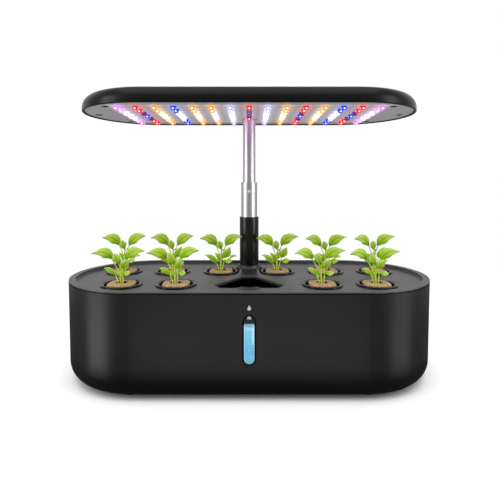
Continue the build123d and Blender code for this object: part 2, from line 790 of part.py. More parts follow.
def make_driver_board():
    """Driver of the lamp: its board with the push switch, a capacitor and a connector."""
    half_length = driver_length / 2
    half_width = driver_width / 2
    y_range = (driver_y - half_width, driver_y + half_width)
    board = block((-half_length, half_length), y_range, (driver_bottom, driver_top))
    switch = Pos(0, driver_y, driver_top + switch_height / 2) * Box(switch_size, switch_size, switch_height)
    switch += post(0, driver_y, plunger_radius, driver_top + switch_height, switch_top)
    capacitor_top = driver_top + capacitor_height
    capacitor = post(driver_post_x / 2, driver_y, capacitor_radius, driver_top, capacitor_top)
    length, width, height = connector_size
    connector = Pos(-driver_post_x / 2, driver_y, driver_top + height / 2) * Box(length, width, height)
    return group([board, switch, capacitor, connector])


def make_lamp_button():
    flange_bottom = roof_underside - button_flange_thickness
    cap = post(0, driver_y, button_radius, roof_underside, button_top)
    cap = fillet(edges_at(cap, button_top), lamp_rim_chamfer)
    cap += post(0, driver_y, button_flange_radius, flange_bottom, roof_underside)
    stem_bottom = switch_top + button_rest_gap + button_travel
    return cap + post(0, driver_y, button_stem_radius, stem_bottom, flange_bottom)


# ---------------------------------------------------------------- one planting pod
def make_basket():
    """Net cup that hangs from its flange, with upright slots between a top and a bottom band."""
    inner_top = basket_top_radius - basket_wall
    inner_bottom = basket_bottom_radius - basket_wall
    half_section = [
        (0, basket_bottom),
        (basket_bottom_radius, basket_bottom),
        (basket_top_radius, deck_top),
        (flange_radius, deck_top),
        (flange_radius, flange_top),
        (basket_top_radius - flange_lip, flange_top),
        (inner_top, deck_top),
        (inner_bottom, sponge_bottom),
        (0, sponge_bottom),
    ]
    basket = spun(half_section)
    basket = fillet(edges_at(basket, flange_top), flange_round)
    slot_bottom = basket_bottom + slot_margin
    slot_top = deck_top - slot_margin
    slot_pair = Pos(0, 0, (slot_bottom + slot_top) / 2) * Box(
        2 * flange_radius, slot_width, slot_top - slot_bottom
    )
    for i in range(slot_count // 2):
        basket -= slot_pair.rotate(Axis.Z, 360 / slot_count * i)
    return basket


def make_sponge():
    low, high = (sponge_bottom_radius, sponge_bottom), (sponge_radius, sponge_top)
    sponge = spun([(0, sponge_bottom), low, high, (0, sponge_top)])
    sponge = fillet(edges_at(sponge, sponge_top), sponge_round)
    return sponge - post(0, 0, dimple_radius, sponge_top - dimple_depth, sponge_top)


def make_seedling():
    """Closed envelope of the young plant: its stem and the crown of leaves."""
    half_section = [
        (0, sponge_top - dimple_depth),
        (stem_radius, sponge_top - dimple_depth),
        (stem_radius, flange_top + crown_start),
        (crown_radius, flange_top + crown_widest),
        (crown_top_radius, flange_top + crown_top),
        (0, flange_top + crown_top),
    ]
    return spun(half_section)


# ---------------------------------------------------------------- all nodes
nodes = {
    "reservoir_shell": make_reservoir_shell(),
    "rubber_feet": make_rubber_feet(),
    "gauge_housing": make_gauge_housing(),
    "gauge_lens": make_gauge_lens(),
    "gauge_gasket": make_gauge_gasket(),
    "power_socket": make_power_socket(),
    "pump_housing": make_pump_housing(),
    "pump_shaft": make_pump_shaft(),
    "pump_impeller": make_pump_impeller(),
    "pump_cover": make_pump_cover(),
    "pump_filter": make_pump_filter(),
    "pump_suction_cups": make_pump_suction_cups(),
    "planting_deck": make_planting_deck(),
    "pole_base_tube": make_pole_tube(base_tube_radius, base_tube_wall, base_tube_bottom, base_tube_top),
    "lower_pole_bush": make_pole_bush(middle_tube_radius, base_tube_radius - base_tube_wall, base_tube_top),
    "pole_middle_tube": make_middle_tube(),
    "upper_pole_bush": make_upper_bush(),
    "bush_rivet": make_bush_rivet(),
    "pole_top_tube": tube(
        0, pole_y, top_tube_radius, top_tube_radius - top_tube_wall, top_tube_bottom, top_tube_top
    ),
    "lamp_housing": make_lamp_housing(),
    "led_board": make_led_board(),
    "lamp_screws": make_lamp_screws(),
    "pole_bracket": make_pole_bracket(),
    "driver_board": make_driver_board(),
    "lamp_button": make_lamp_button(),
}
for letter, name in led_groups.items():
    nodes[name] = make_leds(letter)

basket, sponge, seedling = make_basket(), make_sponge(), make_seedling()
for number, (x, y) in enumerate(pod_places, start=1):
    place = Pos(x, y, 0)
    nodes[f"basket_{number:02d}"] = place * basket
    nodes[f"sponge_{number:02d}"] = place * sponge
    nodes[f"seedling_{number:02d}"] = place * seedling

os.makedirs("parts", exist_ok=True)
for name, shape in nodes.items():
    export_step(shape, f"parts/{name}.step")
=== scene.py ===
import math
import random

import bmesh
import bpy
from mathutils import Matrix, Vector, noise


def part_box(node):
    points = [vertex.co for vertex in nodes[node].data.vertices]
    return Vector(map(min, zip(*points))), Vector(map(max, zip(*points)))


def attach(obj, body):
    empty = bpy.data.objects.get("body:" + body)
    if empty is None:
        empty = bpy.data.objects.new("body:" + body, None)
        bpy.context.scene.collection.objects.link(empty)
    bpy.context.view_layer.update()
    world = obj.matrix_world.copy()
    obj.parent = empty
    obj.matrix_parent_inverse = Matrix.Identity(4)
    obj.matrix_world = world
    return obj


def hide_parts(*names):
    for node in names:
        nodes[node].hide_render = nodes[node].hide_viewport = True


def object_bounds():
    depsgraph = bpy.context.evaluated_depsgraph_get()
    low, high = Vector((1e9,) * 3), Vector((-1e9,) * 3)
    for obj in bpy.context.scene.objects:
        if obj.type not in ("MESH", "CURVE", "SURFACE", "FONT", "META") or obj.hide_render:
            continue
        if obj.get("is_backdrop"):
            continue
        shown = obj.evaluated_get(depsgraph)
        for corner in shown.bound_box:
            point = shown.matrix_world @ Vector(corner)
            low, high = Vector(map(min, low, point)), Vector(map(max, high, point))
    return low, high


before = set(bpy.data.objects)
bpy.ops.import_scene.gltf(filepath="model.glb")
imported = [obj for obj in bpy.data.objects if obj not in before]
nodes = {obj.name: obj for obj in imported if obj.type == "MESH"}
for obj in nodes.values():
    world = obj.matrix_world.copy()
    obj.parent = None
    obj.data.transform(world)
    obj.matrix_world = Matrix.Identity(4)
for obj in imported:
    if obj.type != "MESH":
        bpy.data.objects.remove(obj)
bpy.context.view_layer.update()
scene = bpy.context.scene
mm = 0.001

# ---- Studio camera
# Level view along +Y from in front of the garden. The frame is shifted down, so that upright
# edges stay upright while the camera looks on to the lid from above it.
frame_px = 500
focal_px = 416.0
horizon_row = 185.5
centre_column = 249.2
camera_distance = 0.428
camera_height = 0.1858

camera_data = bpy.data.cameras.new("studio_camera")
camera_data.sensor_width = 36.0
camera_data.lens = camera_data.sensor_width * focal_px / frame_px
camera_data.shift_x = (frame_px / 2 - centre_column) / frame_px
camera_data.shift_y = (horizon_row - frame_px / 2) / frame_px
camera = bpy.data.objects.new("studio_camera", camera_data)
camera.location = (0, -camera_distance, camera_height)
camera.rotation_euler = (math.pi / 2, 0, 0)
scene.collection.objects.link(camera)
scene.camera = camera
scene.view_settings.view_transform = "Standard"


# ---- Studio: world, floor and soft boxes
# A white room. What metal and gloss see of it is bright at the sides and behind the garden, and grey on
# the camera's side, as a room is. The floor is pale card that keeps the soft shadow, and its glow is dimmed
# by ambient occlusion near the garden, a painted contact shadow.
def add_node(tree, kind, **settings):
    """New node with its properties and input sockets set by name or number."""
    node = tree.nodes.new(kind)
    for key, value in settings.pop("inputs", {}).items():
        node.inputs[key].default_value = value
    for key, value in settings.items():
        setattr(node, key, value)
    return node


def link(source, target):
    target.id_data.links.new(source, target)


def rgba(colour):
    """Opaque colour from an RGB colour or a grey value."""
    return (*colour, 1.0) if hasattr(colour, "__len__") else (colour, colour, colour, 1.0)


def feed(target, value):
    """Links a socket to another one, or sets it to a number, an RGB colour or a grey."""
    if isinstance(value, bpy.types.NodeSocket):
        link(value, target)
    else:
        target.default_value = rgba(value) if target.type == "RGBA" else value


def arithmetic(operation):
    """Function that adds a Math node of one kind to its inputs' tree. They are sockets or numbers."""
    def step(*values):
        tree = next(value.id_data for value in values if isinstance(value, bpy.types.NodeSocket))
        node = add_node(tree, "ShaderNodeMath", operation=operation)
        for slot, value in enumerate(values):
            feed(node.inputs[slot], value)
        return node.outputs[0]
    return step


times, plus, minus, divided = map(arithmetic, ("MULTIPLY", "ADD", "SUBTRACT", "DIVIDE"))
scaled = arithmetic("MULTIPLY_ADD")
larger, smaller, is_more, is_less = map(arithmetic, ("MAXIMUM", "MINIMUM", "GREATER_THAN", "LESS_THAN"))
absolute, power, root, nearest, fraction = map(arithmetic, ("ABSOLUTE", "POWER", "SQRT", "ROUND", "FRACT"))


def hypotenuse(first, second):
    return root(plus(power(first, 2.0), power(second, 2.0)))


def separate(vector):
    """Output sockets of a vector's X, Y and Z."""
    node = add_node(vector.id_data, "ShaderNodeSeparateXYZ")
    link(vector, node.inputs[0])
    return node.outputs


def ramp(factor, stops, interpolation="LINEAR"):
    """Colour ramp. A stop is a place and a grey value or an RGB colour."""
    node = add_node(factor.id_data, "ShaderNodeValToRGB")
    node.color_ramp.interpolation = interpolation
    elements = node.color_ramp.elements
    while len(elements) < len(stops):
        elements.new(0.5)
    for element, (place, colour) in zip(elements, stops):
        element.position = place
        element.color = rgba(colour)
    link(factor, node.inputs["Fac"])
    return node.outputs["Color"]


def map_range(value, low, high, interpolation="LINEAR"):
    """Share of the way from one limit to the other."""
    limits = {"From Min": low, "From Max": high}
    node = add_node(value.id_data, "ShaderNodeMapRange", inputs=limits, interpolation_type=interpolation)
    link(value, node.inputs["Value"])
    return node.outputs[0]


def mixed(factor, first, second, blend="MIX"):
    """Colour between two colours, by a socket."""
    node = add_node(factor.id_data, "ShaderNodeMix", data_type="RGBA", blend_type=blend)
    for socket, value in (("Factor", factor), ("A", first), ("B", second)):
        feed(node.inputs[socket], value)
    return node.outputs["Result"]


def mixed_shader(factor, first, second):
    node = add_node(factor.id_data, "ShaderNodeMixShader")
    for slot, source in enumerate((factor, first, second)):
        link(source, node.inputs[slot])
    return node.outputs[0]


room_light = 0.62
room_stops = [
    (0.0, 0.22), (0.03, 0.24), (0.07, 0.38), (0.14, 0.62), (0.3, 0.7), (0.45, 0.5), (0.6, 0.36), (0.8, 0.42),
    (0.93, 0.3), (1.0, 0.12),
]
sky_light = 0.85
sky_stops = [(0.0, 0.0), (0.06, 0.0), (0.16, 1.0), (0.5, 1.0), (0.7, 0.3), (1.0, 0.3)]


def seen_directly(rays):
    return larger(rays["Is Camera Ray"], rays["Is Transmission Ray"])


def room_colour(rays, direction):
    """White to the camera and an even grey to matt surfaces. To gloss it is dim in front, and bright
    beside and high up behind."""
    split = separate(direction)
    toward_back = scaled(split["Y"], 0.5, 0.5)
    high_behind = times(ramp(split["Z"], sky_stops), ramp(toward_back, [(0.5, 0.0), (0.75, 1.0)]))
    glossy = mixed(high_behind, ramp(toward_back, room_stops), sky_light)
    room = mixed(rays["Is Glossy Ray"], room_light, glossy)
    return mixed(seen_directly(rays), room, 1.0)


world = bpy.data.worlds.new("white_room")
world.use_nodes = True
scene.world = world
tree = world.node_tree
rays = add_node(tree, "ShaderNodeLightPath").outputs
direction = add_node(tree, "ShaderNodeTexCoord").outputs["Generated"]
link(room_colour(rays, direction), tree.nodes["Background"].inputs["Color"])

floor_size = 6.0
card_seen, card_bounce, card_to_gloss = 0.72, 0.24, 0.07
card_glow = 0.5
near_edge, far_edge = 0.3, 0.85
painted_contact_shadow_reach = 0.03
painted_contact_shadow_stops = [(0.0, 0.0), (0.2, 0.0), (0.5, 0.75), (0.75, 0.9), (1.0, 1.0)]

half = floor_size / 2
corners = [(-half, -half, 0), (half, -half, 0), (half, half, 0), (-half, half, 0)]
floor_mesh = bpy.data.meshes.new("studio_floor")
floor_mesh.from_pydata(corners, [], [(0, 1, 2, 3)])
floor = bpy.data.objects.new("studio_floor", floor_mesh)
scene.collection.objects.link(floor)
floor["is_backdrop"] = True
card = bpy.data.materials.new("pale_card")
card.use_nodes = True
floor_mesh.materials.append(card)
tree = card.node_tree
tree.nodes.remove(tree.nodes["Principled BSDF"])
rays = add_node(tree, "ShaderNodeLightPath").outputs
shown = seen_directly(rays)
lit = add_node(tree, "ShaderNodeBsdfDiffuse")
matt = ramp(shown, [(0.0, card_bounce), (1.0, card_seen)])
link(mixed(rays["Is Glossy Ray"], matt, card_to_gloss), lit.inputs["Color"])
# Painted contact shadow: the card's glow fades by ambient occlusion where the garden stands close.
contact = add_node(tree, "ShaderNodeAmbientOcclusion", inputs={"Distance": painted_contact_shadow_reach})
card_shine = times(times(shown, card_glow), ramp(contact.outputs["AO"], painted_contact_shadow_stops))

# Two side reflectors and a middle one lie on the card in front, where only gloss sees them. Their edges
# are lines through a corner, with a normal, and they fade out near the base's stadium shape, as painted
# shade in what the base's rounded bottom reflects.
reflector_left, reflector_right, reflector_middle = 1.7, 0.88, 0.42
reflector_edge = 0.02
side_reflector_front = ((0.163, -0.111), (0.67, 0.742))
side_reflector_back = ((0.194, -0.076), (-0.171, -0.985))
middle_reflector_side = ((0.100, -0.0765), (-0.960, -0.2795))
base_half_straight, base_half_depth = 0.1025, 0.0765
shade_near, shade_far = 0.035, 0.06
place = add_node(tree, "ShaderNodeTexCoord").outputs["Object"]
on_floor = separate(place)
outside = absolute(on_floor["X"])


def beyond(corner, normal):
    """1 on the far side of a line on the floor, with a soft edge."""
    across_x = scaled(outside, normal[0], -corner[0] * normal[0] - corner[1] * normal[1])
    across = scaled(on_floor["Y"], normal[1], across_x)
    return ramp(scaled(across, 1 / reflector_edge, 0.5), [(0.0, 0.0), (1.0, 1.0)], "EASE")


in_side_reflector = times(beyond(*side_reflector_front), beyond(*side_reflector_back))
on_right = is_more(on_floor["X"], 0.0)
side_shine = times(in_side_reflector, scaled(on_right, reflector_right - reflector_left, reflector_left))
middle_shine = times(beyond(*middle_reflector_side), reflector_middle)
past_straight = larger(minus(outside, base_half_straight), 0.0)
clearance = minus(hypotenuse(past_straight, on_floor["Y"]), base_half_depth)
clear_of_painted_base_shade = map_range(clearance, shade_near, shade_far, "SMOOTHSTEP")
reflector_shine = times(times(plus(side_shine, middle_shine), clear_of_painted_base_shade), rays["Is Glossy Ray"])
glow = add_node(tree, "ShaderNodeEmission")
link(plus(card_shine, reflector_shine), glow.inputs["Strength"])
near_card = add_node(tree, "ShaderNodeAddShader")
link(lit.outputs[0], near_card.inputs[0])
link(glow.outputs[0], near_card.inputs[1])
outward = add_node(tree, "ShaderNodeVectorMath", operation="NORMALIZE")
link(place, outward.inputs[0])
far_card = add_node(tree, "ShaderNodeEmission")
link(room_colour(rays, outward.outputs[0]), far_card.inputs["Color"])
radius = add_node(tree, "ShaderNodeVectorMath", operation="LENGTH")
link(place, radius.inputs[0])
fade = map_range(radius.outputs["Value"], near_edge, far_edge, "SMOOTHSTEP")
whole_card = mixed_shader(fade, near_card.outputs[0], far_card.outputs[0])
link(whole_card, tree.nodes["Material Output"].inputs["Surface"])


def soft_box(name, place, target, width, height, power):
    """Rectangular lamp with its face turned to a point."""
    data = bpy.data.lights.new(name, "AREA")
    data.shape = "RECTANGLE"
    data.size = width
    data.size_y = height
    data.energy = power
    lamp = bpy.data.objects.new(name, data)
    lamp.location = place
    aim = Vector(target) - Vector(place)
    lamp.rotation_euler = aim.to_track_quat("-Z", "Y").to_euler()
    scene.collection.objects.link(lamp)


soft_box("overhead_box", (0, -0.3, 1.4), (0, 0, 0.05), 1.6, 1.2, 7.0)
soft_box("strip_box_left", (-1.0, -0.48, 0.4), (-0.12, 0, 0.2), 0.42, 0.9, 5.0)
soft_box("strip_box_right", (1.0, -0.48, 0.4), (0.12, 0, 0.2), 0.42, 0.9, 4.4)


# ---- Reservoir shell and its feet
# Injection-moulded black ABS with a fine matt grain, darkened low down and a little near the top by painted
# shade. Four rubber pads are pressed into round recesses in its underside.
def object_point(tree):
    """Place on the piece in the row frame, as a socket."""
    return add_node(tree, "ShaderNodeTexCoord").outputs["Object"]


def shader_material(name, settings):
    """New material, its shader with constant sockets set by name, and the place on the piece."""
    made = bpy.data.materials.new(name)
    made.use_nodes = True
    shader = made.node_tree.nodes["Principled BSDF"]
    for socket, value in settings.items():
        feed(shader.inputs[socket], value)
    return made, shader, object_point(made.node_tree)


def noise_value(point, scale, detail=2.0, roughness=0.5):
    settings = {"Scale": scale, "Detail": detail, "Roughness": roughness}
    node = add_node(point.id_data, "ShaderNodeTexNoise", inputs=settings)
    link(point, node.inputs["Vector"])
    return node.outputs["Fac"]


def remap(value, low, high):
    """Value from 0 to 1 brought between two limits."""
    return scaled(value, high - low, low)


def height_ramp(point, low, high, stops):
    """Ramp over a range of heights on the piece."""
    return ramp(map_range(separate(point)["Z"], low, high), stops)


def paint(shader, tone):
    link(tone, shader.inputs["Base Color"])


def add_bump(shader, height, depth):
    node = add_node(height.id_data, "ShaderNodeBump", inputs={"Strength": 1.0, "Distance": depth})
    link(height, node.inputs["Height"])
    link(node.outputs["Normal"], shader.inputs["Normal"])


def moulded_plastic(name, colour, roughness, grain_mm, grain_depth, specular=0.5, painted_shade_by_height=None):
    """Pigmented moulding: faint cloudiness in the pigment, uneven gloss, an etched grain, and painted shade by
    height where given.
    """
    made, shader, point = shader_material(name, {"Specular IOR Level": specular})
    cloud = noise_value(point, 14.0, 3.0)
    tone = mixed(cloud, tuple(0.8 * c for c in colour), tuple(1.35 * c for c in colour))
    # Painted shade: the colour can be darkened by height, by a given ramp.
    if painted_shade_by_height:
        tone = mixed(height_ramp(point, 0.0, 100 * mm, painted_shade_by_height), 0.0, tone)
    paint(shader, tone)
    wiped = noise_value(point, 60.0, 4.0, 0.6)
    link(remap(wiped, roughness - 0.06, roughness + 0.06), shader.inputs["Roughness"])
    add_bump(shader, noise_value(point, 1.0 / (grain_mm * mm)), grain_depth)
    return made


def dress(material, *names):
    """Gives CAD nodes their finish."""
    for name in names:
        slots = nodes[name].data.materials
        slots.clear()
        slots.append(material)


# Painted shade on the tank: darker toward the table, and a little darker near the lid.
tank_painted_shade = [(0.0, 0.25), (0.2, 0.35), (0.24, 0.55), (0.28, 0.9), (0.55, 1.0), (0.9, 0.78)]
tank_black = moulded_plastic("tank_black", (0.015, 0.015, 0.015), 0.3, 0.55, 0.00002, 0.42, tank_painted_shade)
dress(tank_black, "reservoir_shell")

foot_rubber, shader, point = shader_material("foot_rubber", {"Specular IOR Level": 0.3})
chalk = noise_value(point, 220.0, 5.0, 0.7)
paint(shader, mixed(chalk, 0.008, (0.035, 0.034, 0.032)))
link(remap(chalk, 0.7, 0.95), shader.inputs["Roughness"])
add_bump(shader, noise_value(point, 1800.0), 0.00004)
dress(foot_rubber, "rubber_feet")

# ---- Power socket
# Barrel jack in a glossy flanged body, held from inside by a hexagon nut. The nickel contact is part of
# the same node, so its finish is laid inside a radius from the jack's axis.
socket_low, socket_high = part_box("power_socket")
jack_centre = (socket_low + socket_high) / 2
contact_radius = 1.15 * mm
jack, shader, point = shader_material("jack_plastic_and_nickel", {"Roughness": 0.28})
split = separate(point)
from_jack_axis = hypotenuse(minus(split["X"], jack_centre.x), minus(split["Z"], jack_centre.z))
is_contact = is_less(from_jack_axis, contact_radius)
speckle = noise_value(point, 900.0, 3.0)
body_tone = mixed(speckle, (0.010, 0.010, 0.011), (0.022, 0.022, 0.023))
paint(shader, mixed(is_contact, body_tone, (0.72, 0.70, 0.64)))
link(is_contact, shader.inputs["Metallic"])
add_bump(shader, speckle, 0.00001)
dress(jack, "power_socket")

# ---- Water gauge
# A black bezel and chamber in one moulding, a rubber gasket behind the wall, and a clear acrylic window.
# Tinted nutrient water stands in the chamber behind it.
gauge_black = moulded_plastic("gauge_dead_black", (0.0015, 0.0015, 0.0018), 0.3, 0.9, 0.000004, 0.08)
dress(gauge_black, "gauge_housing")
dress(foot_rubber, "gauge_gasket")

lens_low, lens_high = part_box("gauge_lens")
gauge_draft = math.radians(1.3)
lens_half_width = (lens_high.x - lens_low.x) / 2
lens_thickness = 1.8 * mm
water_level = 66.8 * mm
water_depth = 3.6 * mm
water_margin = 0.42 * mm
seen_over_edge = 1.25 * mm
meniscus_rise = 0.45 * mm
water_columns = 12
water_rounds = 16
low_centre_z = lens_low.z + lens_half_width
high_centre_z = lens_high.z - lens_half_width

# The window's edge has a painted glow in the water's colour, standing for lit acrylic, and a painted grey
# glow stands for mist in the air space above.
acrylic_settings = {"Base Color": (0.9, 0.97, 1.0), "Roughness": 0.03, "IOR": 1.49}
window, shader, point = shader_material("clear_acrylic", acrylic_settings)
tree = window.node_tree
clear = add_node(tree, "ShaderNodeBsdfTransparent", inputs={"Color": (0.96, 0.985, 1.0, 1.0)})
sheen = add_node(tree, "ShaderNodeFresnel", inputs={"IOR": 1.3})
handled = noise_value(point, 400.0, 3.0)
gloss = times(sheen.outputs[0], remap(handled, 0.5, 0.7))
glazing = mixed_shader(gloss, clear.outputs[0], shader.outputs[0])
split = separate(point)
under = larger(minus(low_centre_z, split["Z"]), 0.0)
over = larger(minus(split["Z"], high_centre_z), 0.0)
from_axis = divided(hypotenuse(split["X"], plus(under, over)), lens_half_width)
edge = ramp(from_axis, [(0.0, 0.0), (0.78, 0.0), (0.87, 0.75), (0.93, 0.9), (0.955, 0.9), (0.975, 0.0)])
wet = is_less(split["Z"], water_level)
above = is_more(split["Z"], water_level + seen_over_edge)
painted_glow_cover = larger(times(edge, wet), times(above, remap(handled, 0.35, 0.5)))
painted_mist_glow = mixed(handled, (0.020, 0.024, 0.030), (0.034, 0.040, 0.046))
painted_edge_glow_stops = [(0.0, (0.24, 0.55, 0.74)), (1.0, (0.42, 0.74, 0.90))]
painted_edge_glow_tone = height_ramp(point, lens_low.z, water_level, painted_edge_glow_stops)
painted_glow_film = add_node(tree, "ShaderNodeEmission")
link(mixed(wet, painted_mist_glow, painted_edge_glow_tone), painted_glow_film.inputs["Color"])
lens_with_painted_glow = mixed_shader(painted_glow_cover, glazing, painted_glow_film.outputs[0])
link(lens_with_painted_glow, tree.nodes["Material Output"].inputs["Surface"])
dress(window, "gauge_lens")


def new_piece(name, mesh, body, slot_name, *finishes):
    """Object of its own that rides on a body, with its finishes in order."""
    piece = bpy.data.objects.new(name, mesh)
    scene.collection.objects.link(piece)
    for finish in finishes:
        mesh.materials.append(finish)
    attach(piece, body)
    return piece


def mesh_from(name, points, faces, smooth=True):
    mesh = bpy.data.meshes.new(name)
    mesh.from_pydata([tuple(p) for p in points], [], faces)
    mesh.validate()
    tidy = bmesh.new()
    tidy.from_mesh(mesh)
    bmesh.ops.recalc_face_normals(tidy, faces=tidy.faces)
    tidy.to_mesh(mesh)
    tidy.free()
    if smooth:
        mesh.shade_smooth()
    return mesh


def slab(name, outline, face_y, front, back):
    """Closed flat-sided mesh from an outline in X and Z, between two depths behind a leaning face."""
    points = [(x, face_y(z, depth), z) for depth in (front, back) for x, z in outline]
    count = len(outline)
    faces = [tuple(range(count)), tuple(range(2 * count - 1, count - 1, -1))]
    faces += [(i, i + count, (i + 1) % count + count, (i + 1) % count) for i in range(count)]
    return mesh_from(name, points, faces, smooth=False)


def gauge_y(z, depth):
    """Depth behind the window's outer face at a height on the leaning wall."""
    return lens_low.y + depth + (z - lens_high.z) * -math.tan(gauge_draft)


def paint_with_glow(shader, tone):
    """Tone of a piece as its colour and as a painted glow, standing for light that shines through it."""
    for socket in ("Base Color", "Emission Color"):
        link(tone, shader.inputs[socket])


half_width = lens_half_width - water_margin
outline = []
for i in range(water_rounds + 1):
    angle = math.pi + math.pi * i / water_rounds
    outline.append((half_width * math.cos(angle), low_centre_z + half_width * math.sin(angle)))
for i in range(water_columns + 1):
    across = 1 - 2 * i / water_columns
    outline.append((across * half_width, water_level + meniscus_rise * abs(across) ** 6))
front_depth, back_depth = lens_thickness + 0.05 * mm, lens_thickness + water_depth

# The water glows with painted light, and its tone holds a painted lit band and dark line at the meniscus.
water_settings = {"Roughness": 0.12, "IOR": 1.33, "Emission Strength": 0.55}
water, shader, point = shader_material("tinted_water", water_settings)
split = separate(point)
height = map_range(split["Z"], lens_low.z, water_level)
tone = ramp(height, [
    (0.0, (0.19, 0.53, 0.74)), (0.12, (0.19, 0.52, 0.73)), (0.35, (0.155, 0.49, 0.73)),
    (0.74, (0.245, 0.64, 0.83)), (0.84, (0.26, 0.64, 0.82)), (0.875, (0.46, 0.76, 0.93)),
    (0.93, (0.42, 0.72, 0.90)), (0.955, (0.18, 0.45, 0.62)), (0.975, (0.18, 0.45, 0.62)),
    (1.0, (0.35, 0.70, 0.85)),
])
side = divided(split["X"], half_width)
# Painted reflection: a pale streak down the right of the water.
painted_reflection_across = ramp(remap(side, 0.5, 1.0), [(0.0, 0.0), (0.74, 0.0), (0.81, 0.85), (0.95, 0.9), (0.99, 0.2)])
painted_reflection_along = ramp(height, [(0.0, 0.0), (0.45, 0.0), (0.58, 0.9), (0.88, 0.9), (0.93, 0.3)])
tone = mixed(times(painted_reflection_across, painted_reflection_along), tone, (0.80, 0.96, 1.0))
murk = noise_value(point, 300.0, 4.0)
paint_with_glow(shader, mixed(remap(murk, 0.0, 0.3), tone, (0.20, 0.50, 0.62)))
water_mesh = slab("water_in_gauge", outline, gauge_y, front_depth, back_depth)
new_piece("water_in_gauge", water_mesh, "tank", "gauge_window", water)

# A milky silicone vent plug sits in the top of the air space. It glows with painted light, brighter on top, as
# a painted highlight.
plug_half_width, plug_bottom, plug_top = 1.8 * mm, 71.5 * mm, 73.3 * mm
plug_rounds = 20
outline = []
for i in range(plug_rounds + 1):
    angle = math.pi * i / plug_rounds
    z = plug_bottom + (plug_top - plug_bottom) * math.sin(angle)
    outline.append((plug_half_width * math.cos(angle), z))
painted_glint_finish, shader, point = shader_material("milky_silicone_painted_glint", {"Roughness": 0.35, "Emission Strength": 1.8})
milky = mixed(noise_value(point, 700.0, 3.0), (0.72, 0.73, 0.74), (0.86, 0.87, 0.88))
painted_highlight_above = height_ramp(point, plug_bottom, plug_top, [(0.0, 0.15), (0.7, 1.0)])
paint_with_glow(shader, mixed(painted_highlight_above, (0.05, 0.05, 0.06), milky))
plug_mesh = slab("gauge_vent_plug_glint", outline, gauge_y, front_depth, back_depth)
new_piece("gauge_vent_plug_glint", plug_mesh, "tank", "gauge_window", painted_glint_finish)

# Air bubbles cling to the inside of the window, most of them low down.
bubble_count = 15
random.seed(11)
bubble_shape = bmesh.new()
for i in range(bubble_count):
    low_down = random.random() ** 1.7
    z = low_centre_z + (water_level - 4 * mm - low_centre_z) * low_down
    x = random.uniform(-0.75, 0.75) * half_width
    radius = random.uniform(0.12, 0.3) * mm
    place = Matrix.Translation((x, gauge_y(z, front_depth) - 0.05 * mm, z)) @ Matrix.Diagonal((1, 0.6, 1, 1))
    bmesh.ops.create_icosphere(bubble_shape, subdivisions=2, radius=radius, matrix=place)
bubble_mesh = bpy.data.meshes.new("gauge_bubbles")
bubble_shape.to_mesh(bubble_mesh)
bubble_shape.free()
bubble_mesh.shade_smooth()
# The bubbles glow with painted light.
bubble, shader, point = shader_material("air_bubble", {"Roughness": 0.1, "Emission Strength": 0.5})
paint_with_glow(shader, mixed(noise_value(point, 2500.0), (0.5, 0.82, 0.92), (0.9, 0.98, 1.0)))
new_piece("gauge_bubbles", bubble_mesh, "tank", "gauge_window", bubble)

# A drop pictogram pad-printed in white ink on the wall above the window.
drop_height = 4.9 * mm
drop_radius = 1.55 * mm
drop_centre_z = 81.6 * mm
drop_pinch = 0.28 * mm
drop_rounds, flank_steps = 24, 8
ink_thickness = 0.05 * mm
wall_front, wall_top = 76.5 * mm, 93.4 * mm
tangent = math.acos(drop_radius / (drop_height - drop_radius))
half_outline = []
for i in range(drop_rounds + 1):
    angle = -math.pi / 2 + (math.pi - tangent) * i / drop_rounds
    half_outline.append((drop_radius * math.cos(angle), drop_radius * math.sin(angle)))
tip = (0.0, drop_height - drop_radius)
shoulder = half_outline[-1]
for i in range(1, flank_steps):
    t = i / flank_steps
    pinch = -drop_pinch * math.sin(math.pi * t)
    half_outline.append((shoulder[0] * (1 - t) + pinch, shoulder[1] * (1 - t) + tip[1] * t))
outline = half_outline + [tip] + [(-x, z) for x, z in reversed(half_outline[1:])]
outline = [(x, drop_centre_z + z) for x, z in outline]


def wall_y(z, depth):
    """Depth behind the front wall's outer face at a height."""
    return -(wall_front - (wall_top - z) * math.tan(gauge_draft)) + depth


def speckled(name, settings, dark, light, scale, detail, depth, gloss=None):
    """Finish of two tones mingled by fine noise, with a relief and perhaps a roughness of the same noise."""
    made, shader, point = shader_material(name, settings)
    speckle = noise_value(point, scale, detail)
    paint(shader, mixed(speckle, dark, light))
    if gloss:
        link(remap(speckle, *gloss), shader.inputs["Roughness"])
    add_bump(shader, speckle, depth)
    return made


ink = speckled("white_ink", {"Specular IOR Level": 0.4}, 0.62, 0.92, 2600.0, 3.0, 0.00001, (0.4, 0.6))
drop_mesh = slab("water_mark", outline, wall_y, -ink_thickness, ink_thickness)
new_piece("water_mark", drop_mesh, "tank", "gauge_window", ink)

# ---- Circulation pump
# A small magnet-drive pump on four suction cups: dark satin housing and cover, ceramic shaft, ferrite
# rotor in moulded nylon, and a coarse foam pad behind the inlet.
pump_grey = moulded_plastic("pump_satin_grey", (0.03, 0.03, 0.033), 0.38, 0.7, 0.00002)
dress(pump_grey, "pump_housing", "pump_cover")
rotor_black = moulded_plastic("rotor_nylon", (0.05, 0.05, 0.052), 0.5, 0.35, 0.00001)
dress(rotor_black, "pump_impeller")
dress(foot_rubber, "pump_suction_cups")


def stretched(point, scale):
    node = add_node(point.id_data, "ShaderNodeMapping", inputs={"Scale": scale})
    link(point, node.inputs["Vector"])
    return node.outputs[0]


ceramic, shader, point = shader_material("ground_ceramic", {"Roughness": 0.22})
grinding = noise_value(stretched(point, (6.0, 0.3, 0.3)), 900.0)
paint(shader, mixed(grinding, (0.68, 0.64, 0.56), (0.86, 0.84, 0.79)))
add_bump(shader, grinding, 0.000006)
dress(ceramic, "pump_shaft")


